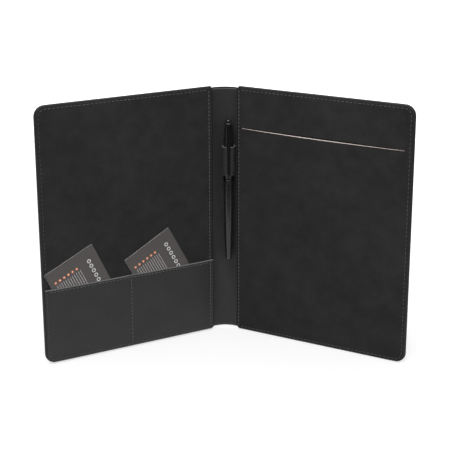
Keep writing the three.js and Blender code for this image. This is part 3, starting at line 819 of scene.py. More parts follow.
def suede_lining(cover, settings, materials, with_slit):
    """A suede sheet inside a cover. Where it has the slit, three rows of the grid follow the cut and
    the two lips, the cells between the lips are left out, and the lower lip stands forward in a
    low bell. That lip is cut on the slant, so that a pale strip of its core shows, widest in the
    middle."""
    seam_steps = mm(0, 0.15, 0.4, 0.8, 1.4, 1.8, 2.1, 2.4, 2.8, 3.4, 3.8, 4.2, 4.8)
    across = stations(LINING_START, WIDTH - LINING_INSET, 4 * MM, seam_steps, EDGE_STEPS)
    if with_slit:
        across = np.sort(np.concatenate([across, [SLIT_START, SLIT_END]]))
    u, z = cover_grid(across, LINING_INSET)
    keep = None
    forward = 0.0
    if with_slit:
        low, high = slit_lips(across)
        row = int(np.argmin(abs(z[len(across) // 2] - SLIT_HEIGHT)))
        near = np.array([-9, -5, -2.5, 0]) * MM
        below = z[:, : row - 1]
        above = z[:, row + 2 :]
        share = np.clip((across - SLIT_START) / (SLIT_END - SLIT_START), 0, 1)
        slant = settings.lip_slant * (0.25 + 0.75 * np.sin(np.pi * share ** 0.85) ** 2)
        cut = low - slant
        under = cut[:, None] + near
        over = high[:, None] - near[::-1]
        z = np.concatenate([below, under, low[:, None], over, above], 1)
        u = np.broadcast_to(across[:, None], z.shape)
        lip = below.shape[1] + len(near)
        keep = np.ones((u.shape[0] - 1, u.shape[1] - 1), bool)
        middles = (across[:-1] + across[1:]) / 2
        in_slit = (middles > SLIT_START) & (middles < SLIT_END)
        keep[in_slit, lip] = False
        below_lip = np.clip(low[:, None] - z, 0, None)
        forward = settings.lip_lift * np.sin(np.pi * share[:, None]) ** 0.6 * np.exp(-below_lip / (7 * MM))
        forward = forward * (np.arange(z.shape[1]) <= lip)
    depth = lining_depth(cover, u, z) - forward
    back = np.full_like(depth, LINING_BACK - 0.02 * MM) - forward
    if with_slit:
        along_slit = (across > SLIT_START) & (across < SLIT_END)
        depth[:, lip] += 0.8 * (back[:, lip] - depth[:, lip]) * along_slit
    points, faces, walls = slab(cover.place(u, depth, z), cover.place(u, back, z), keep)
    # Slot 1, the walls round the lining's cut edge, takes a lighter suede: a painted highlight along the
    # lit rim.
    slots = wall_slots(faces, walls)
    if with_slit:
        strip = np.zeros(keep.shape, int)
        strip[in_slit, lip - 1] = 2
        slots[: keep.sum()] = strip[keep]
        grid = np.stack([u, z], -1).reshape(-1, 2)
        wall = grid[np.array(faces[len(faces) - walls :]) % len(grid)].mean(1)
        near_height = abs(wall[:, 1] - SLIT_HEIGHT) < 2 * SLIT_DROP + 5 * MM
        off_edges = abs(wall[:, 0] - WIDTH / 2) < WIDTH / 2 - 5 * MM
        slots[len(faces) - walls :] += near_height & off_edges
    piece = make_piece(f"{cover.label}_suede", points, faces, sheet_uv(cover.side * u, z), 50, slots)
    return finish_piece(piece, materials, "suede_lining", cover.body, f"{cover.label}_lining")


def pocket_depth(u, z, swell):
    """Front of the card pocket: drawn in at its seams and divider, and swelling between them towards
    the open top, with a folded hem."""
    e = np.minimum(edge_distance(u, z, LINING_INSET), np.maximum(u - POCKET_START, 0))
    flat_strip = 1.6 * MM
    sewn = np.maximum(u - SEAM_AT["left"] + flat_strip, 0)
    seam = np.minimum(np.minimum(edge_distance(u, z), sewn), abs(u - DIVIDER_AT) + flat_strip)
    full = smoothstep(flat_strip, 13 * MM, seam) ** 0.7 * smoothstep(0, 34 * MM, z)
    base = LINING_FACE - 0.85 * MM
    hem = 0.12 * MM * smoothstep(POCKET_TOP - 4.8 * MM, POCKET_TOP - 4.2 * MM, z)
    stitched = 0.12 * MM * stitch_channels(u, z, SEAM_AT["left"])
    stitched = stitched + 0.16 * MM * hump(u, DIVIDER_AT, 0.8 * MM)
    stitched = stitched + 0.14 * MM * hump(z, POCKET_TOP - HEM_STITCH, 0.7 * MM)
    edge = np.maximum(rolled(e, 0.4 * MM), 0.25) * np.maximum(rolled(POCKET_TOP - z, 0.9 * MM), 0.25)
    return LINING_FACE + (base - LINING_FACE) * edge - swell * full - hem + stitched


def card_pocket(settings, materials):
    """The pocket's front wall, as thick as its leather, over the bottom of the left lining. Its cut
    top edge has a material of its own: light edge paint that is also a painted highlight along the lit top
    edge."""
    fold_steps = mm(0, 0.1, 0.25, 0.45, 0.8, 1.4, 2, 2.6, 3.2, 3.7, 4.2, 4.8, 5.6, 7)
    first = stations(POCKET_START, DIVIDER_AT, 4 * MM, fold_steps, mm(0, 0.5, 1, 1.6, 3, 6))
    second = stations(DIVIDER_AT, WIDTH - LINING_INSET, 4 * MM, mm(0.5, 1, 1.6, 3, 6), EDGE_STEPS)
    across = np.unique(np.concatenate([first, second]))
    low = low_edge(across, LINING_INSET)
    top_steps = mm(0, 0.08, 0.2, 0.4, 0.6, 0.8, 1.1, 1.5, 1.9, 2.3, 2.7, 3.2, 4.1, 4.5, 4.9, 7)
    share = stations(0, POCKET_TOP, 4 * MM, EDGE_STEPS, top_steps) / POCKET_TOP
    z = low[:, None] + share[None, :] * (POCKET_TOP - low[:, None])
    u = np.broadcast_to(across[:, None], z.shape)
    front = pocket_depth(u, z, settings.pocket_swell)
    back = np.minimum(front + POCKET_WALL, LINING_FACE - 0.02 * MM)
    back = np.maximum(back, front + 0.12 * MM)
    points, faces, _ = slab(LEFT.place(u, front, z), LEFT.place(u, back, z))
    # Slot 1, the top edge, is light edge paint and a painted highlight along the lit edge.
    slots = (face_heights(points, faces) > POCKET_TOP - 0.6 * MM).astype(int)
    piece = make_piece("pocket_leather", points, faces, sheet_uv(-u, z), 50, slots)
    return finish_piece(piece, materials, "smooth_leather", "left_cover", "card_pocket")


def pen_loop(materials):
    """The strap round the pen: from its sewn tail along a straight line to the pen, round the pen's
    circle, and straight back to the tail, carried up as a band with rounded edges and a slight
    waist, which is one period of a cosine."""
    low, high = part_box("pen_loop")
    wall = LOOP_LEATHER
    radius = PEN_AXIS[0] - low.x - wall / 2
    tail = np.array([high.x - 1.3 * MM, PEN_AXIS[1] + 3.2 * MM])
    gap = tail - PEN_AXIS[:2]
    aim = math.atan2(gap[1], gap[0])
    spread_angle = math.acos((radius - wall * 0.4) / np.hypot(*gap))
    turn = np.linspace(aim + spread_angle, aim - spread_angle + 2 * math.pi, 72)
    ring = PEN_AXIS[:2] + radius * np.stack([np.cos(turn), np.sin(turn)], -1)
    ends = [tail + wall * 0.42 * np.array([math.cos(a), math.sin(a)]) for a in (turn[0], turn[-1])]
    share = np.linspace(0, 1, 9)[:-1, None]
    there = ends[0] * (1 - share) + ring[0] * share
    back = ends[1] * (1 - share) + ring[-1] * share
    path = np.concatenate([there, ring, back[::-1]])
    normal = -path_normals(path)
    z = stations(low.z, high.z, 2 * MM, EDGE_STEPS[:7], EDGE_STEPS[:7])
    e = np.minimum(z - low.z, high.z - z)
    half = wall / 2 * np.maximum(rolled(e, 0.45 * MM), 0.2)
    waist = 0.15 * MM * np.cos((z - low.z) / (high.z - low.z) * 2 * math.pi)

    def band(sign):
        offset = np.broadcast_to(sign * half + waist, (len(path), len(z)))
        flat = path[:, None, :] + normal[:, None, :] * offset[..., None]
        return np.concatenate([flat, np.broadcast_to(z[None, :, None], (*offset.shape, 1))], -1)

    points, faces, _ = slab(band(1), band(-1))
    run = path_run(path)
    uv = np.stack(np.meshgrid(run, z, indexing="ij"), -1).reshape(-1, 2) + 0.8
    # Slot 1, the strap's top edge, takes the light edge paint, which is also a painted highlight along the
    # lit edge.
    slots = (face_heights(points, faces) > high.z - 0.5 * MM).astype(int)
    piece = make_piece("loop_leather", points, faces, np.concatenate([uv, uv + 0.3]), 50, slots)
    return finish_piece(piece, materials, "smooth_leather", "spine", "pen_loop")


# Threads


def spaced(start, stop, pitch):
    """Middles of the stitches that fill a run from start to stop."""
    count = max(int(round((stop - start) / pitch)), 1)
    return start + (np.arange(count) + 0.5) * (stop - start) / count


def perimeter_stitches(pitch, seam_at):
    """Across, up and heading of each stitch along the bottom, round the corners, up the outer edge
    and along the top, at a steady inset from the outline."""
    radius = CORNER - STITCH_INSET
    straight = WIDTH - CORNER - seam_at - pitch / 2
    arc = radius * math.pi / 2
    side = HEIGHT - 2 * CORNER
    lengths = np.cumsum([straight, arc, side, arc, straight])
    run = spaced(0, lengths[-1], pitch)
    start = seam_at + pitch / 2
    corner_u = WIDTH - CORNER
    low_turn = (run - lengths[0]) / radius
    high_turn = (run - lengths[2]) / radius
    cases = [run < lengths[0], run < lengths[1], run < lengths[2], run < lengths[3]]
    u = np.select(
        cases,
        [start + run, corner_u + radius * np.sin(low_turn), WIDTH - STITCH_INSET + 0 * run,
         corner_u + radius * np.cos(high_turn)],
        corner_u - (run - lengths[3]),
    )
    z = np.select(
        cases,
        [STITCH_INSET + 0 * run, CORNER - radius * np.cos(low_turn), CORNER + run - lengths[1],
         HEIGHT - CORNER + radius * np.sin(high_turn)],
        HEIGHT - STITCH_INSET + 0 * run,
    )
    heading = np.select(
        cases, [0 * run, low_turn, math.pi / 2 + 0 * run, math.pi / 2 + high_turn], math.pi + 0 * run
    )
    return np.stack([u, z, heading], -1)


def line_stitches(start, stop, pitch):
    """Across, up and heading of the stitches on a straight line."""
    start, stop = np.array(start), np.array(stop)
    length = np.hypot(*(stop - start))
    share = spaced(0, length, pitch)[:, None] / length
    middle = start + (stop - start) * share
    heading = math.atan2(*(stop - start)[::-1])
    return np.concatenate([middle, np.full((len(middle), 1), heading)], 1)


def thread_points(cover, stitches, surface, outwards, thickness, settings, seed):
    """Rings of points of every stitch. Along its length a stitch rises from the leather and dips
    back by a quartic, its radius tapers towards the holes, and each one is a little askew."""
    rng = np.random.default_rng(seed)
    rings, sides = 7, 8
    t = np.linspace(-1, 1, rings)
    ring_angle = np.linspace(0, 2 * math.pi, sides, endpoint=False)
    askew = rng.normal(0, 0.045, len(stitches))
    stretch = rng.normal(1, 0.04, len(stitches))
    heading = stitches[:, 2] + askew
    reach = settings.length / 2 * stretch[:, None] * t[None, :]
    u = stitches[:, 0, None] + reach * np.cos(heading)[:, None]
    z = stitches[:, 1, None] + reach * np.sin(heading)[:, None]
    size = settings.radius * np.broadcast_to(thickness, len(stitches))[:, None]
    radius = size * (1 - 0.55 * t**4)
    rise = size * (0.75 - 1.9 * t**4)
    level = surface(u, z) + outwards * rise
    sideways = radius[..., None] * np.cos(ring_angle)
    lift = radius[..., None] * np.sin(ring_angle)
    u = u[..., None] - sideways * np.sin(heading)[:, None, None]
    z = z[..., None] + sideways * np.cos(heading)[:, None, None]
    depth = level[..., None] + outwards * lift
    points = cover.place(u, depth, z).reshape(-1, 3)
    twist = np.broadcast_to(ring_angle / (2 * math.pi), u.shape)
    length = np.broadcast_to(t[None, :, None], u.shape)
    return points, np.stack([length, twist], -1).reshape(-1, 2), rings, sides


def cover_threads(cover, groups, settings, material):
    """All the stitches of one cover, inside and outside, as one piece."""
    points, uv, faces, first = [], [], [], 0
    for number, group in enumerate(groups):
        stitches = group[0]
        some, some_uv, rings, sides = thread_points(cover, *group, settings, 11 + number)
        faces += [[v + first for v in face] for face in tube_faces(rings, sides, len(stitches))]
        points.append(some)
        uv.append(some_uv)
        first += len(some)
    piece = make_piece(f"{cover.label}_threads", np.concatenate(points), faces, np.concatenate(uv), 80)
    slot = "smooth_leather" if cover is LEFT else "suede_lining"
    return finish_piece(piece, [material], slot, cover.body)


# Cards


def printed_card(name, cover, material, edge):
    """A thin card in the plane of its CAD node. Its long side runs along the axis it slides on, and
    its corners are quarter circles."""
    long_way = np.array(JOINTS[f"{name}_slide"]["axis"])
    long_way = long_way / np.linalg.norm(long_way)
    short_way = np.cross(long_way, cover.back)
    origin = corners(name).mean(0)
    low_v, high_v = spread(name, origin, long_way)
    low_u, high_u = spread(name, origin, short_way)
    low_d, high_d = spread(name, origin, cover.back)
    fine = mm(0, 0.05, 0.15, 0.35, 0.7)
    u = stations(low_u, high_u, 6 * MM, fine, fine)
    v = stations(low_v, high_v, 6 * MM, fine, fine)
    u, v = np.meshgrid(u, v, indexing="ij")
    radius = 0.7 * MM
    over = np.maximum(radius - np.minimum(v - low_v, high_v - v), 0)
    shrink = radius - np.sqrt(np.maximum(radius**2 - over**2, 0))
    half = (high_u - low_u) / 2
    middle = (high_u + low_u) / 2
    u = middle + (u - middle) * (half - shrink) / half

    def sheet_at(depth):
        return origin + u[..., None] * short_way + v[..., None] * long_way + depth * cover.back

    points, faces, walls = slab(sheet_at(low_d + 0.02 * MM), sheet_at(high_d - 0.02 * MM))
    slots = wall_slots(faces, walls)
    piece = make_piece(f"{name}_print", points, faces, sheet_uv(high_u - u, high_v - v, 0), 30, slots)
    return finish_piece(piece, [material, edge], "card_stock", name, name)


# Pen


def rounded_profile(knots, steps=5):
    """A profile through (radius, height, fillet) knots: each fillet replaces its corner by a
    quadratic curve that starts and ends the fillet's length from it."""
    points = []
    for k, (r, h, fillet) in enumerate(knots):
        here = np.array([r, h])
        if fillet == 0 or k in (0, len(knots) - 1):
            points.append(here)
            continue
        before, after = np.array(knots[k - 1][:2]), np.array(knots[k + 1][:2])
        a = here + (before - here) * min(fillet / np.linalg.norm(before - here), 0.48)
        b = here + (after - here) * min(fillet / np.linalg.norm(after - here), 0.48)
        t = np.linspace(0, 1, steps)[:, None]
        points += list(a * (1 - t) ** 2 + 2 * here * t * (1 - t) + b * t**2)
    return np.array(points) * MM


def revolved(profile, segments):
    """A profile turned about the pen's axis: (r cos a, r sin a, h). A profile that ends where it
    starts gives a closed ring, and any other one is closed by flat ends."""
    angle = np.linspace(0, 2 * math.pi, segments, endpoint=False)
    ring = np.stack([np.cos(angle), np.sin(angle)], -1)
    flat = profile[:, None, :1] * ring[None]
    height = np.broadcast_to(profile[:, None, 1:], (*flat.shape[:2], 1))
    points = (np.concatenate([flat, height], -1) + PEN_AXIS).reshape(-1, 3)
    closed = np.allclose(profile[0], profile[-1])
    faces = tube_faces(len(profile), segments, closed_ends=not closed)
    if closed:
        last = (len(profile) - 1) * segments
        faces = [[v - last if v >= last else v for v in face] for face in faces]
    return points, faces


def turned_piece(name, knots, material, slot, body, node):
    """A turned piece of the pen. Knots are millimetres, with heights above the floor, up the
    outside and down the inside."""
    points, faces = revolved(rounded_profile(knots), 96)
    piece = make_piece(name, points, faces, None, 35)
    return finish_piece(piece, [material], slot, body, node)


def pen_height(node):
    """Lowest and highest height of a pen node, in millimetres."""
    low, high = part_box(node)
    return low.z / MM, high.z / MM


def pen_radius(node):
    """Greatest radius of a pen node about the pen's axis, in millimetres."""
    low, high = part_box(node)
    return (high.x - low.x) / 2 / MM


def pen_cap(lacquer):
    """The cap: a thin tube that tapers gently and closes to a small hole in its top."""
    low, high = pen_height("cap_tube")
    radius = pen_radius("cap_tube")
    wall = 0.6
    knots = [
        (radius - wall, low, 0), (radius, low, 0.15), (radius - 0.06, low + 14, 6),
        (radius - 0.25, low + 30, 8), (radius - 0.75, high - 8, 5), (radius - 1.5, high - 1.6, 1.0),
        (radius - 1.95, high, 0.4), (1.3, high, 0), (1.3, high - 1.2, 0), (radius - 2.2, high - 1.2, 0),
        (radius - wall - 0.5, high - 10, 0), (radius - wall, low, 0),
    ]
    return turned_piece("pen_cap_shell", knots, lacquer, "pen_lacquer", "pen_cap", "cap_tube")


def pen_cap_ring(trim):
    """The ring at the cap's mouth: two rounded ribs with a groove between them."""
    low, high = pen_height("cap_ring")
    radius = pen_radius("cap_ring")
    bore = radius - 0.6
    knots = [
        (bore, low, 0), (radius - 0.12, low, 0.12), (radius, low + 0.45, 0.15), (radius, low + 0.7, 0.1),
        (radius - 0.35, low + 0.85, 0.1), (radius - 0.35, high - 0.7, 0.1),
        (radius - 0.08, high - 0.5, 0.1), (radius - 0.08, high, 0.08), (bore, high, 0), (bore, low, 0),
    ]
    return turned_piece("pen_cap_ring", knots, trim, "pen_trim", "pen_cap", "cap_ring")


def pen_finial(lacquer):
    """The finial: a thin disc on its stud, with a rounded rim and a shallow dish in its top."""
    low, high = pen_height("finial")
    radius = pen_radius("finial")
    base = high - 1.6
    knots = [
        (0.02, low, 0), (1.2, low, 0.1), (1.2, base, 0), (radius - 0.3, base, 0.12),
        (radius, base + 0.4, 0.25), (radius, high - 0.6, 0.3), (radius - 0.4, high - 0.06, 0.25),
        (radius - 0.8, high, 0.12),
        (radius - 1.1, high - 0.22, 0.15), (0.9, high - 0.12, 0.6), (0.02, high - 0.06, 0),
    ]
    return turned_piece("pen_finial", knots, lacquer, "pen_lacquer", "pen_cap", "finial")


def pen_barrel(lacquer):
    """The barrel: straight above, and tapering below in a long curve down to the end plug."""
    low, high = pen_height("barrel")
    radius = pen_radius("barrel")
    tail = pen_radius("end_plug")
    knots = [
        (tail - 1, low, 0), (tail, low, 0.12), (tail + 0.6 * (radius - tail), low + 19.7, 12),
        (radius, low + 41.3, 9), (radius, high - 1, 0.1), (radius - 0.12, high - 0.85, 0.05),
        (radius - 0.12, high, 0.05),
        (radius - 1, high, 0), (radius - 1, low + 41.3, 0), (tail - 1, low, 0),
    ]
    return turned_piece("pen_barrel_shell", knots, lacquer, "pen_lacquer", "pen_barrel", "barrel")


def pen_end_plug(lacquer):
    """The plug in the barrel's end: a rounded foot, slightly dished below, on a narrower stud."""
    low, high = pen_height("end_plug")
    radius = pen_radius("end_plug")
    knots = [
        (0.02, low + 0.12, 0), (1.2, low + 0.1, 0.3), (radius - 0.9, low, 0.3),
        (radius - 0.12, low + 0.55, 0.7), (radius, low + 1.8, 0.1), (radius - 1.1, low + 1.8, 0),
        (radius - 1.1, high, 0.2), (0.02, high, 0),
    ]
    return turned_piece("pen_end_plug", knots, lacquer, "pen_lacquer", "pen_barrel", "end_plug")


def pen_clip(trim, edge):
    """The clip: a flat bar with bevelled front edges, carried from its washer out over the cap's top,
    down in front of the strap and out again at the tip. It narrows down the arm. The bevel on the left
    alone has a brighter metal, a painted highlight along the lit left edge, and the washer shares that
    metal."""
    low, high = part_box("pen_clip")
    reach = PEN_AXIS[1] - low.y
    arm = reach - 0.7 * MM - 0.5 * MM
    knots = [
        (0.9, high.z / MM - 0.5, 0), (arm / MM, high.z / MM - 0.5, 1.9), (arm / MM, low.z / MM + 3.4, 2.2),
        (arm / MM + 0.75, low.z / MM + 0.45, 0),
    ]
    path = rounded_profile(knots, 10)
    run = path_run(path)
    even = np.linspace(0, run[-1], 90)
    path = np.stack([np.interp(even, run, path[:, k]) for k in range(2)], -1)
    normal = path_normals(path)
    share = even / even[-1]
    width = (2.2 - 0.6 * smoothstep(0.1, 0.95, share) - 0.9 * smoothstep(0.96, 1.0, share)) * MM
    thick = 0.45 * MM * (1 - 0.3 * smoothstep(0.97, 1.0, share))
    bevel = 0.42 * MM
    section = np.array([
        (-1, -1, 0, 0), (-1, 1, 0, -1), (-1, 1, 0.12, -0.88), (-1, 1, 0.88, -0.12), (-1, 1, 1, 0),
        (0, 1, 0, 0.25), (1, 1, -1, 0), (1, 1, -0.88, -0.12), (1, 1, -0.12, -0.88), (1, 1, 0, -1),
        (1, -1, 0, 0),
    ])
    x = width[:, None] * section[:, 0] + bevel * section[:, 2]
    out = thick[:, None] * section[:, 1] + bevel * section[:, 3]
    flat = path[:, None, :] + normal[:, None, :] * out[..., None]
    points = np.stack([PEN_AXIS[0] + x, PEN_AXIS[1] - flat[..., 0], flat[..., 1]], -1).reshape(-1, 3)
    sides = len(section)
    faces = facing_out(points, tube_faces(len(path), sides))
    rim = pen_radius("finial") - 0.2
    washer = rounded_profile([
        (1.3, high.z / MM - 0.9, 0), (rim, high.z / MM - 0.9, 0.15), (rim, high.z / MM, 0.15),
        (1.3, high.z / MM, 0), (1.3, high.z / MM - 0.9, 0),
    ])
    ring, ring_faces = revolved(washer, 64)
    ring_faces = facing_out(ring, ring_faces)
    # Only the left bevel takes the brighter metal, a painted highlight along the lit left edge; the washer
    # takes it too.
    left_bevel_highlight = [len(face) == 4 and {1, 2, 3, 4} >= {v % sides for v in face} for face in faces]
    faces = faces + [[v + len(points) for v in face] for face in ring_faces]
    slots = np.array(left_bevel_highlight + [True] * len(ring_faces)).astype(int)
    piece = make_piece("pen_clip_arm", np.concatenate([points, ring]), faces, None, 20, slots)
    return finish_piece(piece, [trim, edge], "pen_trim", "pen_cap", "pen_clip")


# Operators


# A lighter copy of the suede for the linings' cut edges: a painted highlight along their lit rims.
SUEDE_RIM_HIGHLIGHT = 2.4
SPINE_SHADE = 0.85
# Edge paint on the spine strip's ends, lightened as a painted highlight along its lit top edge.
SPINE_EDGE_AND_HIGHLIGHT = 0.8
POCKET_SHADE = 0.87
# Edge paint on the pocket's and the loop's top edges, lightened as a painted highlight along the lit
# edges.
PAINTED_EDGE_AND_HIGHLIGHT = 1.45
EDGE_THREAD = {"left": 0.38, "right": 0.6}
TOP_THREAD = 0.72
SEAM_THREAD = 1.0


class FOLDER_OT_covers(bpy.types.Operator):
    """Build the outer leather of both covers and the spine"""

    bl_idname = "folder.covers"
    bl_label = "Outer Leather"

    def execute(self, context):
        look = context.scene.folder_leather
        material = leather_finish("outer_leather", look.outer_level, look.grain, 0.11 * MM)
        outer_leather(LEFT, look, material, "left_cover_skin")
        outer_leather(RIGHT, look, material, "right_cover_skin", "spine_cover")
        return {"FINISHED"}


class FOLDER_OT_linings(bpy.types.Operator):
    """Build both suede linings, with the slit in the right one, and the strip inside the spine"""

    bl_idname = "folder.linings"
    bl_label = "Linings"

    def execute(self, context):
        look = context.scene.folder_leather
        suede = suede_finish("suede", look.suede_level)
        # The rim suede is a painted highlight along the linings' lit cut edges.
        rim = suede_finish("suede_rim_highlight", look.suede_level * SUEDE_RIM_HIGHLIGHT)
        suede_lining(LEFT, look, [suede, rim], False)
        suede_lining(RIGHT, look, [suede, rim, raw_edge_finish()], True)
        smooth = smooth_leather("spine_leather", look, SPINE_SHADE)
        # The spine's edge material is edge paint and a painted highlight along the lit top edge.
        edge = leather_edge("spine_edge_and_highlight", look, SPINE_EDGE_AND_HIGHLIGHT)
        spine_lining([smooth, edge])
        return {"FINISHED"}


class FOLDER_OT_pocket(bpy.types.Operator):
    """Build the card pocket and the pen loop"""

    bl_idname = "folder.pocket"
    bl_label = "Pocket and Loop"

    def execute(self, context):
        look = context.scene.folder_leather
        smooth = smooth_leather("pocket_leather", look, POCKET_SHADE)
        # The edge material is edge paint and a painted highlight along the lit top edges.
        edge = leather_edge("edge_paint_and_highlight", look, PAINTED_EDGE_AND_HIGHLIGHT)
        card_pocket(look, [smooth, edge])
        pen_loop([smooth, edge])
        return {"FINISHED"}


class FOLDER_OT_threads(bpy.types.Operator):
    """Sew both covers: round their edges, down both sides of the spine, and on the pocket"""

    bl_idname = "folder.threads"
    bl_label = "Threads"

    def execute(self, context):
        look = context.scene.folder_leather
        sew = context.scene.folder_thread
        material = thread_finish(sew.level)

        def outside(u, z):
            return 0 * u + COVER_BACK - OUTER_CHANNEL - look.puff * PUFF_SUNK

        def on_lining(cover):
            return lambda u, z: lining_depth(cover, u, z)

        def on_pocket(u, z):
            pocket = pocket_depth(u, z, look.pocket_swell)
            return np.where(z < POCKET_TOP, pocket, lining_depth(LEFT, u, z))

        def both_faces(cover, inside):
            seam_at = SEAM_AT[cover.label]
            edge = perimeter_stitches(sew.pitch * 1.1, seam_at)
            on_top = smoothstep(HEIGHT - 8 * MM, HEIGHT - 4 * MM, edge[:, 1])
            sunk = EDGE_THREAD[cover.label] + (TOP_THREAD - EDGE_THREAD[cover.label]) * on_top
            seam = line_stitches((seam_at, STITCH_INSET), (seam_at, HEIGHT - STITCH_INSET), sew.pitch)
            outer_seam = seam + np.array([OUTER_SEAM_SHIFT, 0, 0])
            return [
                (edge, inside, -1, sunk), (seam, inside, -1, SEAM_THREAD), (edge, outside, 1, 0.9),
                (outer_seam, outside, 1, 1.0),
            ]

        hem_at = POCKET_TOP - HEM_STITCH
        low = STITCH_INSET + MM
        left_end, right_end = WIDTH - STITCH_INSET - 2 * MM, SEAM_AT["left"] + 2 * MM
        hem = line_stitches((right_end, hem_at), (left_end, hem_at), sew.pitch)
        divider = line_stitches((DIVIDER_AT, hem_at - 1.6 * MM), (DIVIDER_AT, low), sew.pitch)
        pocket_groups = [(hem, on_pocket, -1, 0.92), (divider, on_pocket, -1, 0.9)]
        cover_threads(LEFT, both_faces(LEFT, on_pocket) + pocket_groups, sew, material)
        cover_threads(RIGHT, both_faces(RIGHT, on_lining(RIGHT)), sew, material)
        return {"FINISHED"}


class FOLDER_OT_cards(bpy.types.Operator):
    """Build the two printed cards"""

    bl_idname = "folder.cards"
    bl_label = "Cards"

    def execute(self, context):
        edge = paper_edge_finish()
        printed_card("outer_card", LEFT, card_finish("outer_card_print", 3.0), edge)
        printed_card("inner_card", LEFT, card_finish("inner_card_print", 3.0), edge)
        return {"FINISHED"}


class FOLDER_OT_pen(bpy.types.Operator):
    """Build the pen's cap, clip, finial, barrel and end plug"""

    bl_idname = "folder.pen"
    bl_label = "Pen"

    def execute(self, context):
        satin = lacquer_finish("satin_lacquer", 0.011, 0.25)
        gloss = lacquer_finish("gloss_lacquer", 0.012, 0.12, 0.9)
        trim = metal_finish("dark_plating", (0.06, 0.06, 0.063), 0.2)
        pen_cap(satin)
        pen_cap_ring(trim)
        pen_finial(gloss)
        pen_barrel(satin)
        pen_end_plug(gloss)
        # The brighter bevel metal is a painted highlight on the clip's lit left edge; the washer shares
        # it.
        pen_clip(trim, metal_finish("bevel_highlight_metal", (0.3, 0.3, 0.31), 0.4))
        return {"FINISHED"}


class FOLDER_OT_inner_parts(bpy.types.Operator):
    """Finish the boards, the foam and the pen's inner pieces, which keep their own shapes"""

    bl_idname = "folder.inner_parts"
    bl_label = "Inner Parts"

    def execute(self, context):
        foam = foam_finish()
        board = board_finish()
        finishes = {
            "left_foam": foam,
            "right_foam": foam,
            "left_board": board,
            "right_board": board,
            "left_infill": board,
            "cap_liner": plastic_finish("liner_plastic", 0.22, 0.45),
            "grip_section": plastic_finish("grip_plastic", 0.012, 0.25),
            "barrel_ring": metal_finish("ring_plating", (0.16, 0.16, 0.165), 0.2),
            "nib_cone": metal_finish("cone_plating", (0.5, 0.5, 0.51), 0.22),
            "refill": metal_finish("refill_metal", (0.6, 0.6, 0.61), 0.3, turned=False),
        }
        for node, material in finishes.items():
            mesh = frame["nodes"][node].data
            mesh.materials.clear()
            mesh.materials.append(material)
        return {"FINISHED"}


class FOLDER_OT_stage(bpy.types.Operator):
    """Lay the floor, hang the lights and place the camera"""

    bl_idname = "folder.stage"
    bl_label = "Stage"

    def execute(self, context):
        stage = context.scene.folder_stage
        lay_floor(stage)
        light_room(stage)
        hang_lights(stage)
        place_camera()
        return {"FINISHED"}


# Stage


FLOOR_REACH = 30.0
BOARD_FRONT = -0.31
BOARD_BLUR = 0.03
GLOW_RISE = (0.5, 1.2)
SIDE_SHARE = 0.15
BACK_SHARE = 0.64
LIGHT_TARGET = np.array([0.0, 0.0, 0.12])


def lay_floor(stage):
    """A wide pale floor. The camera and anything clear show it white, by a glow that is weak round
    the folder, so that its shadow stays, and full further off. Reflections show it white too;
    only the part in front of the board that the folder stands on is a dim floor in them."""
    square = FLOOR_REACH * np.array([[-1, -1, 0], [1, -1, 0], [1, 1, 0], [-1, 1, 0]])
    mesh = bpy.data.meshes.new("floor")
    mesh.from_pydata(square.tolist(), [], [[0, 1, 2, 3]])
    floor = bpy.data.objects.new("floor", mesh)
    bpy.context.scene.collection.objects.link(floor)
    make = Finish("floor_paint")
    rays = make.add("ShaderNodeLightPath").outputs
    dim = tuple(c * stage.mirror_level for c in stage.floor)
    board = tuple(c * stage.board_level for c in stage.floor)
    place = make.parts(make.object_place())
    near = make.spread(place["Y"], BOARD_FRONT, BOARD_FRONT + BOARD_BLUR)
    near = make.times(near, make.spread(place["X"], 0.0, 0.5, 1.0, 0.4))
    mirrored = make.mix(near, (*dim, 1), (*board, 1))
    away = make.length(make.object_place())
    seen = make.plus(rays["Is Camera Ray"], rays["Is Transmission Ray"])
    glow = make.times(seen, make.spread(away, *GLOW_RISE, stage.near_glow, stage.far_glow))
    mirror_glow = make.times(make.times(rays["Is Glossy Ray"], near), stage.far_glow)
    make.output(
        Base_Color=make.mix(rays["Is Glossy Ray"], (*stage.floor, 1), mirrored),
        Roughness=0.9, Specular_IOR_Level=0.1,
        Emission_Color=(1, 1, 1, 1), Emission_Strength=make.plus(glow, mirror_glow),
    )
    mesh.materials.append(make.material)


def light_room(stage):
    """Even light from all round. The camera, anything clear and reflections of what lies behind the
    folder show it white; reflections of the room in front of the folder show it dim."""
    world = bpy.context.scene.world or bpy.data.worlds.new("room")
    bpy.context.scene.world = world
    world.use_nodes = True
    make = NodeTree(world.node_tree)
    rays = make.add("ShaderNodeLightPath").outputs
    heading = make.parts(make.add("ShaderNodeTexCoord").outputs["Generated"])
    mirrored = make.spread(heading["Y"], -0.1, 0.25, stage.mirror_level, 1.0)
    shown = make.plus(rays["Is Camera Ray"], rays["Is Transmission Ray"])
    level = make.spread(rays["Is Glossy Ray"], 0.0, 1.0, stage.fill_level, mirrored)
    level = make.spread(shown, 0.0, 1.0, level, 1.0)
    background = make.nodes["Background"]
    background.inputs["Color"].default_value = (1, 1, 1, 1)
    make.links.new(level, background.inputs["Strength"])


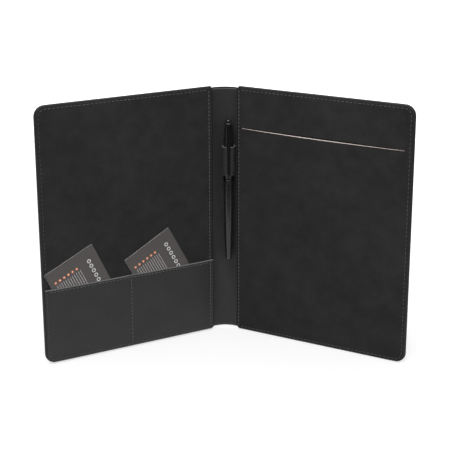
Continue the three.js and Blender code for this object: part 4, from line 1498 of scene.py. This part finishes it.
def hang_lights(stage):
    """A large soft light high in front and a little to the left, a weaker one at the right, and a
    low one behind that edges the tops with light."""
    places = (
        ("key_light", (-0.22, -0.60, 1.7), 1.0, stage.key_power),
        ("side_light", (1.1, -0.9, 0.9), 1.1, stage.key_power * SIDE_SHARE),
        ("back_light", (0.1, 1.4, 0.75), 0.8, stage.key_power * BACK_SHARE),
    )
    for name, place, size, power in places:
        data = bpy.data.lights.new(name, "AREA")
        data.shape = "SQUARE"
        data.size = size
        data.energy = power
        lamp = bpy.data.objects.new(name, data)
        lamp.location = place
        aim = type(lamp.location)(LIGHT_TARGET - np.array(place))
        lamp.rotation_mode = "QUATERNION"
        lamp.rotation_quaternion = aim.to_track_quat("-Z", "Y")
        lamp.visible_camera = False
        bpy.context.scene.collection.objects.link(lamp)


CAMERA_PLACE = (0.0008, -1.1031, 0.4721)
CAMERA_PITCH = 17.76
CAMERA_ROLL = 0.14
FOCAL_LENGTH = 101.0
SENSOR = 36.0


def place_camera():
    """The photograph's view: from the front, in the middle, looking a little down."""
    data = bpy.data.cameras.new("camera")
    data.lens = FOCAL_LENGTH
    data.sensor_width = SENSOR
    data.clip_end = 100.0
    camera = bpy.data.objects.new("camera", data)
    camera.location = CAMERA_PLACE
    camera.rotation_euler = (math.radians(90 - CAMERA_PITCH), math.radians(CAMERA_ROLL), 0)
    bpy.context.scene.collection.objects.link(camera)
    bpy.context.scene.camera = camera
    bpy.context.scene.view_settings.view_transform = "Standard"


class FOLDER_PT_panel(bpy.types.Panel):
    bl_label = "Organizer Folder"
    bl_idname = "FOLDER_PT_panel"
    bl_space_type = "VIEW_3D"
    bl_region_type = "UI"
    bl_category = "Folder"

    def draw(self, context):
        for settings in (
            context.scene.folder_leather, context.scene.folder_thread, context.scene.folder_stage
        ):
            box = self.layout.box()
            for key in settings.__annotations__:
                box.prop(settings, key)
        for operator in OPERATORS:
            self.layout.operator(operator.bl_idname)


OPERATORS = (
    FOLDER_OT_stage,
    FOLDER_OT_covers,
    FOLDER_OT_linings,
    FOLDER_OT_pocket,
    FOLDER_OT_cards,
    FOLDER_OT_threads,
    FOLDER_OT_pen,
    FOLDER_OT_inner_parts,
)
CLASSES = (FolderLeather, FolderThread, FolderStage, *OPERATORS, FOLDER_PT_panel)


def register():
    for item in CLASSES:
        bpy.utils.register_class(item)
    bpy.types.Scene.folder_leather = bpy.props.PointerProperty(type=FolderLeather)
    bpy.types.Scene.folder_thread = bpy.props.PointerProperty(type=FolderThread)
    bpy.types.Scene.folder_stage = bpy.props.PointerProperty(type=FolderStage)


def unregister():
    del bpy.types.Scene.folder_leather
    del bpy.types.Scene.folder_thread
    del bpy.types.Scene.folder_stage
    for item in reversed(CLASSES):
        bpy.utils.unregister_class(item)


def main():
    """Builds every piece in order."""
    register()
    for operator in OPERATORS:
        group, name = operator.bl_idname.split(".")
        getattr(getattr(bpy.ops, group), name)()


if __name__ == "__main__":
    main()
